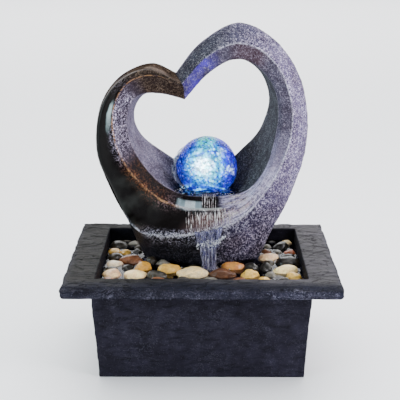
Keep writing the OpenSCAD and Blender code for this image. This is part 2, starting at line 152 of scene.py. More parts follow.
def move_points(mesh, co):
    mesh.vertices.foreach_set("co", np.asarray(co, np.float32).ravel())
    mesh.update()


def paint(mesh, name, rgb):
    """Stores a colour per vertex."""
    layer = mesh.attributes.new(name, "FLOAT_COLOR", "POINT")
    rgba = np.ones((len(mesh.vertices), 4), np.float32)
    rgba[:, :3] = rgb
    layer.data.foreach_set("color", rgba.ravel())


def outward(obj):
    """Makes a closed mesh's normals point outwards."""
    bm = bmesh.new()
    bm.from_mesh(obj.data)
    bmesh.ops.recalc_face_normals(bm, faces=bm.faces)
    bm.to_mesh(obj.data)
    bm.free()


def grid_faces(rows, cols, closed=False):
    """Faces of a tube of rows of points, capped at its ends, or closed from the last row to the first."""
    faces = []
    for i in range(rows if closed else rows - 1):
        for j in range(cols):
            here, there, right = i * cols, (i + 1) % rows * cols, (j + 1) % cols
            faces.append((here + j, here + right, there + right, there + j))
    if closed:
        return faces
    return faces + [tuple(range(cols))[::-1], tuple(range((rows - 1) * cols, rows * cols))]


def evaluated(obj):
    """Applies an object's modifiers to its mesh."""
    done = bpy.data.meshes.new_from_object(obj.evaluated_get(bpy.context.evaluated_depsgraph_get()))
    obj.modifiers.clear()
    obj.data = done
    return obj


def remeshed(name, node, voxel):
    """A copy of a CAD node's shape in small even faces."""
    obj = link(name, NODES[node].data.copy())
    mod = obj.modifiers.new("even", "REMESH")
    mod.mode, mod.voxel_size, mod.use_smooth_shade = "VOXEL", voxel * MM, True
    return evaluated(obj)


def ball_points(level):
    """Points and faces of a unit sphere in even triangles."""
    bm = bmesh.new()
    bmesh.ops.create_icosphere(bm, subdivisions=level, radius=1)
    bm.verts.ensure_lookup_table()
    verts = np.array([v.co[:] for v in bm.verts])
    faces = [tuple(v.index for v in f.verts) for f in bm.faces]
    bm.free()
    return verts, faces


def gather(parts):
    """Joins (points, faces) pairs into one."""
    verts, faces, base = [], [], 0
    for v, f in parts:
        verts.append(v)
        faces += [tuple(base + i for i in q) for q in f]
        base += len(v)
    return np.vstack(verts), faces


def unit(v):
    return v / np.maximum(np.linalg.norm(v, axis=-1, keepdims=True), 1e-12)


def strand(path, radius, flat=1.0, sides=8, wide=(1.0, 0, 0)):
    """A closed tube along a path; flat widens it along the wide direction."""
    path = np.asarray(path, float)
    run = unit(np.gradient(path, axis=0))
    across = unit(np.array(wide) - run * (run @ np.array(wide))[:, None])
    out = np.cross(run, across)
    a = np.linspace(0, 2 * math.pi, sides, endpoint=False)
    ring = (across[:, None] * (np.cos(a) * flat)[None, :, None] + out[:, None] * np.sin(a)[None, :, None])
    verts = (path[:, None] + ring * np.asarray(radius)[:, None, None]).reshape(-1, 3)
    return verts, grid_faces(len(path), sides)


def slab(outline, z_top, z_low, rise, rings=40):
    """A closed body between two levels, with a star-shaped outline and a rippled top given by rise(xy)."""
    n = len(outline)
    middle = outline.mean(0)
    t = np.linspace(0.02, 1, rings) ** 0.8
    flatten = middle + (outline - middle)[None] * t[:, None, None]
    top = np.dstack([flatten, np.full((rings, n), z_top)]).reshape(-1, 3)
    top[:, 2] += rise(top[:, :2])
    low = np.column_stack([flatten[::-1].reshape(-1, 2), np.full(rings * n, z_low)])
    return np.vstack([top, low]), grid_faces(2 * rings, n)


# ---- material helpers
def srgb(r, g, b):
    """Linear colour from 0 to 255 screen values."""
    return tuple((c / 255 / 12.92) if c < 10.3 else ((c / 255 + 0.055) / 1.055) ** 2.4 for c in (r, g, b))


def scaled(colour, by, more=0.0):
    return tuple(min(1, c * by + more) for c in colour)


class Look:
    """A small builder for one material's node tree."""

    def __init__(self, name):
        self.mat = bpy.data.materials.new(name)
        self.mat.use_nodes = True
        self.tree = self.mat.node_tree
        self.tree.nodes.clear()
        self.out = self.add("OutputMaterial")
        self.place = self.add("TexCoord").outputs["Object"]

    def put(self, socket, value):
        if isinstance(value, bpy.types.NodeSocket):
            self.tree.links.new(value, socket)
        elif socket.type == "RGBA":
            socket.default_value = (*value, 1)
        else:
            socket.default_value = value

    def add(self, kind, **values):
        """A node with its settings, in small letters, and its inputs, which start with a capital."""
        node = self.tree.nodes.new("ShaderNode" + kind)
        for key, value in values.items():
            if key[0].islower():
                setattr(node, key, value)
            else:
                self.put(node.inputs[key.replace("_", " ")], value)
        return node

    def noise(self, scale, detail=3, rough=0.55, distort=0.0, place=None):
        return self.add("TexNoise", Vector=place or self.place, Scale=scale, Detail=detail, Roughness=rough,
                        Distortion=distort).outputs["Fac"]

    def voronoi(self, scale, feature="F1", random=1.0):
        node = self.add("TexVoronoi", feature=feature, Vector=self.place, Scale=scale, Randomness=random)
        return node.outputs["Distance"]

    def stretched(self, sx, sy, sz, turn=(0, 0, 0)):
        turned = [math.radians(a) for a in turn]
        return self.add("Mapping", Vector=self.place, Scale=[sx, sy, sz], Rotation=turned).outputs["Vector"]

    def span(self, fac, lo, hi, to_lo=0.0, to_hi=1.0):
        node = self.add("MapRange", Value=fac, From_Min=lo, From_Max=hi, To_Min=to_lo, To_Max=to_hi)
        return node.outputs["Result"]

    def math(self, op, a, b=0.0):
        node = self.add("Math", operation=op)
        self.put(node.inputs[0], a)
        self.put(node.inputs[1], b)
        return node.outputs["Value"]

    def times(self, a, b):
        return self.math("MULTIPLY", a, b)

    def plus(self, a, b):
        return self.math("ADD", a, b)

    def blend(self, a, b, fac, how="MIX"):
        node = self.add("Mix", data_type="RGBA", blend_type=how, Factor=fac)
        self.put(node.inputs[6], a)
        self.put(node.inputs[7], b)
        return node.outputs[2]

    def shaded(self, colour, by, fac):
        """The colour multiplied by another, where fac is 1."""
        return self.blend(colour, self.blend(colour, by, 1.0, "MULTIPLY"), fac)

    def attribute(self, name):
        return self.add("Attribute", attribute_name=name).outputs["Color"]

    def parts(self, name):
        """The three channels of an attribute."""
        return self.add("SeparateColor", Color=self.attribute(name)).outputs[:3]

    def bump(self, height, strength, depth, **under):
        return self.add("Bump", Height=height, Strength=strength, Distance=depth, **under).outputs["Normal"]

    def surface(self, colour, rough, normal=None, **values):
        """Finishes the material with a Principled surface."""
        node = self.add("BsdfPrincipled", Base_Color=colour, Roughness=rough, **values)
        if normal:
            self.put(node.inputs["Normal"], normal)
        self.tree.links.new(node.outputs[0], self.out.inputs["Surface"])
        return self.mat


def dress(obj, material, slot, body, *stands_for):
    """Gives a new piece its material and body, and hides the CAD nodes it stands for. The slot is not used."""
    obj.data.materials.clear()
    obj.data.materials.append(material)
    if body:
        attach(obj, body)
    if stands_for:
        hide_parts(*stands_for)


def water(name, parts, material, body="heart"):
    """A piece of water, from closed (points, faces) parts in millimetres."""
    verts, faces = gather(parts)
    obj = mesh_object(name, verts * MM, faces)
    outward(obj)
    dress(obj, material, "clear_plastic", body)
    return obj


# ---- camera, floor and light
def make_camera():
    data = bpy.data.cameras.new("camera")
    data.sensor_width, data.lens = 36, 88.62
    cam = link("camera", data)
    cam.location = (0.002895, -0.77505, 0.361665)
    cam.rotation_euler = (math.radians(90 - 16.563), 0, 0.0058)
    bpy.context.scene.camera = cam


def make_floor():
    half = 12
    corners = [(-half, -half, 0), (half, -half, 0), (half, half, 0), (-half, half, 0)]
    floor = mesh_object("floor", corners, [(0, 1, 2, 3)])
    look = Look("floor")
    tone = look.blend(srgb(246, 247, 250), srgb(253, 253, 254), look.noise(3, 4))
    floor.data.materials.append(look.surface(tone, 0.38, Specular_IOR_Level=0.35))


def area_light(name, place, aim, size, power, colour=(1, 1, 1)):
    data = bpy.data.lights.new(name, "AREA")
    data.shape, data.energy, data.color = "RECTANGLE", power, colour
    data.size, data.size_y = size
    lamp = link(name, data)
    lamp.location = place
    lamp.rotation_euler = (Vector(aim) - Vector(place)).to_track_quat("-Z", "Y").to_euler()


def make_light():
    """A pale studio, brighter behind than in front, with soft boxes to the right, left and above."""
    world = bpy.data.worlds.new("studio")
    world.use_nodes = True
    nodes, links = world.node_tree.nodes, world.node_tree.links
    place = nodes.new("ShaderNodeTexCoord")
    axes = nodes.new("ShaderNodeSeparateXYZ")
    level = nodes.new("ShaderNodeMapRange")
    level.interpolation_type = "SMOOTHSTEP"
    for key, value in (("From Min", -0.6), ("From Max", 0.8), ("To Min", 0.25), ("To Max", 3.1)):
        level.inputs[key].default_value = value
    links.new(place.outputs["Generated"], axes.inputs[0])
    links.new(axes.outputs["Y"], level.inputs["Value"])
    links.new(level.outputs[0], nodes["Background"].inputs["Strength"])
    nodes["Background"].inputs["Color"].default_value = (0.95, 0.97, 1, 1)
    bpy.context.scene.world = world
    middle = (0, 0, 0.13)
    area_light("key_right", (0.9, -0.5, 0.7), middle, (0.5, 0.5), 13, (0.95, 0.93, 1))
    area_light("window_left", (-1.0, -0.62, 0.34), middle, (0.45, 0.6), 11, (0.75, 0.97, 1))
    area_light("overhead", (0, 0.1, 1.3), middle, (1.2, 1.0), 12)
    area_light("back_floor", (0, 2.6, 1.3), (0, 2.6, 0), (3.4, 2.4), 60)
    area_light("front_soft", (0.2, -1.5, 0.9), middle, (0.8, 0.5), 5)


# ---- heart
# Stations round the heart, as in the CAD model: outer edge, front ridge, inner ridge,
# inner front edge and inner back edge, each [x, z] in millimetres.
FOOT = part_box("heart_sculpture")[0].z / MM
HEART = (
    ((-22, 232), (-16, 227), (-15, 225), (-14, 213), (-15, 211)),
    ((-43, 240), None, (-38, 234), (-35, 218), (-35, 212)),
    ((-68, 229), None, (-59, 228), (-51, 216), (-50, 208)),
    ((-84, 204), None, (-71, 207), (-60, 203), (-57, 197)),
    ((-87, 168), None, (-70, 179), (-60, 184), (-57, 184)),
    ((-78, 137), (-73, 140), (-59, 156), (-52, 165), (-49, 171)),
    ((-65, 111), (-57, 108), (-40, 136), (-36, 145), (-31, 158)),
    ((-42, FOOT), (-36, 101), (-18, 125), (-16, 134), (-13, 148)),
    ((3, FOOT), (-4, 103), (3, 122), (3, 132.5), (4, 146)),
    ((42, FOOT), (24, 111), (22, 124), (21, 133), (20, 151)),
    ((61, 101), (44, 128), (39, 133), (39, 138), (36, 165)),
    ((75, 131), (61, 154), None, (53, 157), (48, 178)),
    ((85, 163), (71, 182), None, (60, 183), (55, 195)),
    ((87, 197), (72, 208), None, (62, 206), (56, 210)),
    ((79, 231), (63, 236), None, (56, 226), (50, 226)),
    ((59, 259), (46, 254), None, (41, 242), (38, 237)),
    ((30, 273), (25, 259), None, (24, 245), (22, 240)),
    ((0, 258), (3, 248), None, (6, 235), (6, 230)),
)
LAST = len(HEART)
CUP_DIP = {6: ((-33, 20, 146), (-31, 44, 149)), 7: ((-15, 15, 125), (-14, 47, 125)),
           8: ((3, 14, 124), (3.5, 48, 124)), 9: ((20.5, 15, 125), (20, 47, 126)),
           10: ((36, 20, 140), (34.5, 44, 147))}
CROWN_FALL = 3.2  # how much the tops of the lobes fall towards the back
BACK_EDGE, DIP_BACK, DIP_FRONT, FRONT_EDGE, INNER_RIDGE, RIDGE, OUTER, OUTER_BACK, BACK = range(9)


def heart_section(k):
    s, w, b, e, h = [None if p is None else np.array(p, float) for p in HEART[k]]
    w = mix(s, b, 0.12) if w is None else w
    b = mix(e, w, 0.15) if b is None else b
    low = {7: 1, 8: 2, 9: 1}.get(k, 0)

    def at(p, y):
        return (p[0], y, p[1])

    dip_front, dip_back = CUP_DIP.get(k, (at(mix(e, h, 0.33), 24.5), at(mix(e, h, 0.67), 40.5)))
    fall = np.array([0, CROWN_FALL * np.clip((s[1] - 190) / 40, 0, 1)])
    return [at(h, 60 if low else 56), dip_back, dip_front, at(e, 9 - low / 2), at(b, 1),
            at(w, -3 if low else 0), at(s, 6 if low == 2 else 20), at(s - fall, (48, 46, 58)[low]),
            at(mix(h, s, 0.4), 62)]


HEART_CAGE = np.array([heart_section(k) for k in range(LAST)])


def heart_knot(k):
    """The notch is a sharp corner, so the curve is open there."""
    if k < 0:
        return 2 * HEART_CAGE[0] - HEART_CAGE[1]
    if k > LAST:
        return 2 * HEART_CAGE[0] - HEART_CAGE[LAST - 1]
    return HEART_CAGE[k % LAST]


def heart_at(u):
    """The section's nine corner points at station u, in millimetres."""
    k = min(int(u), LAST - 1)
    t = u - k
    p0, p1, p2, p3 = (heart_knot(k + i) for i in (-1, 0, 1, 2))
    bend, twist = 2 * p0 - 5 * p1 + 4 * p2 - p3, 3 * p1 - p0 - 3 * p2 + p3
    p = 0.5 * (2 * p1 + (p2 - p0) * t + bend * t**2 + twist * t**3)
    p[:, 2] = np.maximum(p[:, 2], FOOT)
    return p


STEPS = 700  # rows of points round the heart
SOFTENING = 36  # passes that round the section's soft corners
SIDES = (18, 18, 18, 16, 24, 26, 26, 22, 24)  # points along each side of the section
ACROSS = sum(SIDES)
FIRST = np.concatenate([[0], np.cumsum(SIDES)[:-1]])  # index of each corner's own point


def heart_rings():
    """The station u of each row, the rows of points, and the place c of each point on the section."""
    us = np.linspace(0, LAST, STEPS, endpoint=False)
    corners = np.array([heart_at(u) for u in us])
    rings, places = [], []
    for j, n in enumerate(SIDES):
        t = np.arange(n) / n
        t = mix(t, 0.5 - 0.5 * np.cos(math.pi * t), 0.6)
        a, b = corners[:, j], corners[:, (j + 1) % 9]
        rings.append(a[:, None] + (b - a)[:, None] * t[None, :, None])
        places.append(j + t)
    return us, np.concatenate(rings, 1), np.concatenate(places)


def bulge(ring, side, depth, direction):
    """Swells one side of the section by depth(u) millimetres in a direction."""
    first, n = FIRST[side], SIDES[side]
    t = np.arange(n) / n
    swell = depth[:, None] * (4 * t * (1 - t))[None, :]
    ring[:, first:first + n] += swell[..., None] * np.array(direction)


def soften(ring, us):
    """Rounds the section's corners where they aren't sharp."""
    sharp = {FRONT_EDGE: 0.93, INNER_RIDGE: smooth(10.2, 9.2, us), RIDGE: smooth(4.6, 5.8, us),
             OUTER: 0.5 * smooth(9, 10, us), BACK_EDGE: 0.4}
    hold = np.ones((len(us), ACROSS))
    for corner, how in sharp.items():
        gap = np.abs(np.arange(ACROSS) - FIRST[corner])
        gap = np.minimum(gap, ACROSS - gap)
        hold *= 1 - np.reshape(how, (-1, 1)) * np.exp(-((gap / 2.2) ** 2))[None, :]
    for _ in range(SOFTENING):
        mean = (np.roll(ring, 1, 1) + np.roll(ring, -1, 1)) / 2
        ring += (mean - ring) * (0.5 * hold)[..., None]
    return ring


def heart_mesh():
    """The sculpted heart, with per-vertex station and section place."""
    us, ring, place = heart_rings()
    bulge(ring, INNER_RIDGE, 3.2 * smooth(7, 5.5, us) * smooth(0, 1.5, us), (-0.35, -0.94, 0))
    bulge(ring, RIDGE, 2.0 * smooth(9.5, 11, us) * smooth(18, 16.5, us), (0.2, -0.95, 0.1))
    ring = soften(ring, us)
    ring[..., 2] = np.maximum(ring[..., 2], FOOT)
    obj = mesh_object("heart_sculpture_cast", ring.reshape(-1, 3) * MM, grid_faces(STEPS, ACROSS, True))
    outward(obj)
    return obj, np.repeat(us, ACROSS), np.tile(place, STEPS)


def heart_paint(obj, u, c):
    """Colour, fleck colour and finish (hammered, glossy, brushed) of the heart, by station u and place c."""
    co = vectors(obj.data) / MM
    cloud = fbm(co / 14, 3, SEED) * 0.5

    def su(lo, hi):
        return smooth(lo, hi, u)

    def sc(lo, hi):
        return smooth(lo, hi, c)

    def near(at, width):
        return np.exp(-(((c - at) / width) ** 2))

    left, right, low = su(7.4, 6.2), su(8.6, 10), su(5.8, 6.8) * su(10.4, 9.2)
    wall, bevel = sc(3.04, 2.96), sc(2.96, 3.04) * sc(4.03, 3.97)
    face, broad = sc(3.97, 4.03) * sc(5.03, 4.97), sc(4.97, 5.03) * sc(6.2, 5.9)
    side, back = sc(5.9, 6.2) * sc(8, 7.4), sc(7.4, 8)
    inner = bevel + face
    dark, hammered = left * (face + broad + side), left * bevel
    arm = inner * smooth(8.3, 8.9, u + 0.5 * cloud) * su(11.4, 10.2)  # where water runs off the right arm
    # painted violet light from the glowing ball, on the inner faces near the notch
    violet = inner * su(16.4, 17.2) * (1 - 0.4 * su(17.4, 17.9))
    flow = fbm(np.column_stack([u * 1.6 + c * 0.5, c * 9 - u, c * 0]), 3, 83)
    # where a window's reflection is painted on the wet ledge
    ledge_window_reflection = low * sc(3.35, 3.5) * sc(4.06, 3.98) * su(6.8, 6.95) * su(7.9, 7.75)
    # a painted teal reflection of the left window, in a streak along the left face
    middle = 4.17 + 0.05 * (u - 3.2) + 0.04 * noise3(co / 4, 80)
    reach = 0.05 + 0.11 * np.sin(np.clip((u - 2.6) / 1.2, 0, 1) * math.pi)
    streak = smooth(1.0, 0.55, np.abs(c - middle) / reach) * su(3.75, 3.3)
    streak *= left * smooth(2.65, 2.95, u + 0.3 * cloud) * mix(0.9, 0.45, su(3.1, 3.5))
    wander = np.clip(0.7 + 1.6 * fbm(co / 1.6, 3, SEED + 3), 0, 1)
    gold = near(4.0 + 0.02 * noise3(co / 9, 77), 0.016) * su(0.2, 1.2) * su(7.6, 6.6)
    broken = 0.02 * noise3(co / 7, 78) + mix(0.008, 0.03, low) * noise3(co / 1.5, 79)
    white = near(5.0 + broken, mix(0.026, 0.017, low)) * su(5.4, 6.4) * su(17.4, 16.2)

    tone = layered(srgb(58, 55, 64), (
        (dark, srgb(8, 6, 6)),
        (dark * su(3.2, 0.6), srgb(36, 29, 25)),
        # a painted sheen along the top edge of the left lobe
        (dark * su(3.4, 1.6) * near(5.25, 0.3) * np.clip(0.75 + 2 * cloud, 0, 1), srgb(94, 84, 77)),
        (hammered, srgb(76, 68, 84)),
        (hammered * su(2.6, 1.4), srgb(40, 31, 29)),
        (hammered * su(4.2, 5.2), srgb(20, 14, 14)),
        # a painted greenish-grey reflection of the left window, on the lower left face
        (dark * face * su(4.6, 5.6) * su(7.4, 6.4) * np.clip(0.35 + 1.6 * cloud, 0, 0.8), srgb(50, 52, 50)),
        (left * wall, srgb(116, 109, 128)),
        (left * wall * su(5.2, 6.6), srgb(88, 86, 100)),
        (right * wall, srgb(68, 68, 73)),
        (right * wall * su(11.6, 9.6), srgb(48, 51, 54)),
        (right * inner, srgb(72, 68, 83)),
        (right * inner * su(12.6, 10.6), srgb(140, 133, 162)),
        (right * broad, srgb(112, 103, 136)),
        (right * broad * su(14.2, 15.6), srgb(90, 86, 112)),
        (right * broad * su(15, 17), srgb(52, 53, 64)),
        (right * broad * su(11.6, 9.4), srgb(71, 66, 95)),
        (right * side, srgb(70, 66, 78)),
        # painted violet light from the glowing ball near the notch, reddish-brown tone next to it
        (violet * np.clip(0.55 + 1.6 * cloud, 0.1, 0.95), srgb(80, 60, 186)),
        (inner * su(14.4, 15) * su(16.4, 15.6) * 0.5, srgb(84, 58, 60)),
        (low * (broad + side), srgb(24, 24, 30)),
        (low * broad * su(8.2, 9.3) * sc(6.3, 5.3), srgb(71, 66, 96)),
        (arm * 0.9, srgb(140, 132, 164)),
        (arm * su(9.2, 10.2) * 0.8, srgb(178, 170, 202)),
        (arm * smooth(0.04, 0.22, flow) * 0.7, srgb(66, 63, 86)),
        (arm * smooth(-0.04, -0.2, flow) * 0.8, srgb(204, 202, 228)),
        (low * face * (1 - arm), srgb(12, 9, 9)),
        (low * face * su(7.3, 8.1) * (1 - arm), srgb(84, 66, 66)),
        (low * bevel * (1 - arm), srgb(22, 17, 17)),
        # the wet ledge, with a painted reflection of a window on it
        (ledge_window_reflection * 0.9, srgb(160, 180, 186)),
        (ledge_window_reflection * su(7.13, 7.2) * su(7.6, 7.53), srgb(244, 250, 250)),
        # a painted highlight along the ledge's ridge
        (near(3.95, 0.045) * su(7.3, 7.5) * su(8.8, 8.6), srgb(200, 212, 206)),
        (low * face * sc(4.3, 4.1) * su(7.3, 7.6) * su(8.9, 8.6) * 0.8, srgb(40, 48, 52)),
        (low * wall, srgb(32, 32, 40)),
        (back * 0.7, srgb(40, 38, 44)),
        # the painted teal reflection of the left window
        (streak, srgb(168, 196, 196)),
        # gold line on the left inner ridge, white line on the front ridge, pale inner edge
        (gold * wander, srgb(190, 144, 98)),
        (white * wander, srgb(222, 222, 240)),
        (near(3, 0.024) * su(2, 3) * su(16, 14) * wander * 0.85, srgb(172, 162, 180)),
    )) * (1 + 0.25 * cloud)[:, None]

    high = layered(srgb(226, 217, 246), (
        (left * su(4.2, 5), srgb(140, 88, 56)),
        (low * near(5, 0.3), srgb(205, 205, 228)),
        (left * su(2.6, 1.4), srgb(158, 134, 114)),
        (low * face * sc(4.8, 4.5), srgb(190, 160, 165)),
        (right * broad * su(15, 17), srgb(150, 150, 158)),
        (right * inner, mix(srgb(214, 208, 230), srgb(172, 164, 186), su(10.6, 13)[:, None])),
        (wall, mix(srgb(142, 144, 154), srgb(196, 190, 212), left[:, None])),
    ))

    hammer = right * (broad + 0.8 * side + 0.75 * inner) + hammered * mix(0.25, 0.9, su(1.4, 2.4))
    hammer += low * (0.9 * broad + 0.5 * face + 0.6 * side) + 0.3 * wall + 0.45 * back
    hammer *= 1 - 0.6 * hammered * su(3.8, 4.8)
    gloss = dark * (face + broad) * mix(0.35, 1, su(0.8, 2.4)) + 0.55 * hammered
    gloss += 0.75 * low + 0.15 * wall + 0.18 * right * (1 - wall)
    gloss *= (1 - 0.9 * wall) * (1 - 0.9 * left * broad * (1 - low))
    gloss *= (1 - 0.5 * hammered * su(3.8, 4.8)) * (1 - 0.6 * low * (broad + side))
    glazed = left * sc(4.02, 4.1) * sc(4.9, 4.6) * su(2.1, 2.6) * su(5.2, 4.2)
    gloss = mix(np.minimum(gloss, 0.46), 0.7, glazed)
    brush = right * (broad * mix(0.75, 0.5, su(15, 17)) + 0.4 * side + 0.42 * inner + 0.4 * near(5.05, 0.09))
    brush += hammered * (su(1.9, 2.7) * su(4.9, 4) + 0.3 * su(4.2, 5))
    brush += left * ((inner + side + broad) * 0.34 * su(2.6, 1.4) + 0.6 * near(4, 0.16) * su(2.6, 4.4))
    brush += low * broad * (mix(0.1, 1, sc(6.4, 5.2) * su(7.9, 9)) + 0.8 * sc(5.35, 5.05))
    brush += low * face * (0.75 * sc(4.72, 4.95) + 0.3 * su(7.6, 8.4))
    brush += 0.35 * arm + 0.15 * back + wall * mix(0.36, 0.5, left)
    return np.clip(tone, 0, 1), high, np.clip(np.stack([hammer, gloss, brush], 1), 0, 1)


def heart_texture(obj, hammer):
    """Hammered dimples, and slow unevenness on the glossy faces, as real shape."""
    co, no = vectors(obj.data), vectors(obj.data, "normal")
    p = co / MM
    dimple = smooth(0.15, 0.75, cells(p / 3.0, SEED)[0]) * 0.5 + fbm(p / 2.2, 2, SEED + 1) * 0.35
    depth = hammer * (dimple - 0.25) * 0.55 + (1 - hammer) * 0.1 * fbm(p / 7, 2, SEED + 5)
    depth += mix(0.12, 0.35, hammer) * fbm(p / 16, 3, SEED + 2)
    depth *= smooth(FOOT + 0.5, FOOT + 6, p[:, 2])
    co = co + no * (depth * MM)[:, None]
    co[:, 2] = np.maximum(co[:, 2], FOOT * MM)
    move_points(obj.data, co)


def heart_look(name, shine, coat):
    look = Look(name)
    tone, high = look.attribute("tone"), look.attribute("high")
    hammer, gloss, brush = look.parts("surf")
    pits = look.voronoi(800, "SMOOTH_F1")
    worm = look.noise(800, 3, 0.6, 1.2)
    fine = look.noise(2200, 2, 0.6)
    grain = look.plus(worm, look.times(look.math("SUBTRACT", look.noise(170, 3, 0.6), 0.5), 0.22))
    hollow = look.times(look.span(worm, 0.5, 0.38), look.times(brush, 0.85))
    deep = look.shaded(tone, (0.18, 0.17, 0.22), hollow)
    flecked = look.blend(deep, high, look.times(look.span(grain, 0.53, 0.61), brush))
    mottled = look.shaded(flecked, (0.6, 0.56, 0.56), look.span(look.noise(90, 4), 0.35, 0.7))
    dull = look.math("SUBTRACT", 1.0, gloss)
    rough = look.plus(look.times(look.times(dull, dull), 0.72), look.times(fine, 0.16))
    shape = look.times(look.plus(look.times(worm, 0.75), look.times(pits, 0.5)), hammer)
    normal = look.bump(shape, 0.9, 0.001, Normal=look.bump(look.noise(300, 3), 0.12, 0.0006))
    return look.surface(mottled, rough, normal, Specular_IOR_Level=shine,
                        Coat_Weight=look.times(look.times(gloss, gloss), coat), Coat_Roughness=0.14)


def cut_round(obj, x, y, z_low, z_high, radius):
    """Cuts a round pocket out of a closed mesh."""
    n = 72
    a = np.linspace(0, 2 * math.pi, n, endpoint=False)
    ring = np.column_stack([x + radius * np.cos(a), y + radius * np.sin(a)])
    verts = np.vstack([np.column_stack([ring, np.full(n, z)]) for z in (z_low, z_high)])
    tool = mesh_object("cutter", verts * MM, grid_faces(2, n), False)
    outward(tool)
    cut = obj.modifiers.new("cut", "BOOLEAN")
    cut.operation, cut.object, cut.solver = "DIFFERENCE", tool, "MANIFOLD"
    evaluated(obj)
    bpy.data.objects.remove(tool)


def make_heart():
    obj, u, c = heart_mesh()
    tone, high, surf = heart_paint(obj, u, c)
    heart_texture(obj, surf[:, 0])
    for name, value in (("tone", tone), ("high", high), ("surf", surf)):
        paint(obj.data, name, value)
    dress(obj, heart_look("heart_lacquer", 0.035, 0.3), "heart_resin", "heart", "heart_sculpture")
    obj.data.materials.append(heart_look("heart_matt_paint", 0.0, 0.0))
    corner = np.empty(len(obj.data.loops), np.int32)
    obj.data.loops.foreach_get("vertex_index", corner)
    gloss = surf[:, 1][corner.reshape(-1, 4)].mean(1)
    obj.data.polygons.foreach_set("material_index", (gloss < 0.2).astype(np.int32))
    seat, lead = box_mm("led_seal"), box_mm("led_lead")
    x, y, _ = (seat[0] + seat[1]) / 2
    lead_x, lead_y, _ = (lead[0] + lead[1]) / 2
    ring_z, riser_z = seat[0][2], box_mm("riser_tube")[1][2]
    cut_round(obj, x, y, ring_z, ring_z + 45, 17.6)
    cut_round(obj, x, y, FOOT - 5, riser_z + 4, 7)
    cut_round(obj, lead_x, lead_y, FOOT - 5, ring_z + 2, 2.5)


# ---- slate basin
RIM_T = 8.0  # thickness of the rim slab
EDGE_X, EDGE_Y, RIM_Z = box_mm("basin")[1]
RIM_LOW = RIM_Z - RIM_T


def riven(p, seed):
    """Split-stone relief, of terraces and fine cleavage ripples, and how near a terrace's riser is."""
    slow = fbm(p / (44, 27, 30), 3, seed) * 2.3
    step = np.floor(slow)
    part = slow - step
    riser = np.clip(1 - np.abs(part - 0.5) / 0.1, 0, 1)
    ripple = fbm(p / (11, 3.6, 6), 3, seed + 9)
    return 0.7 * (step + smooth(0.44, 0.56, part)) + 0.3 * ripple, riser


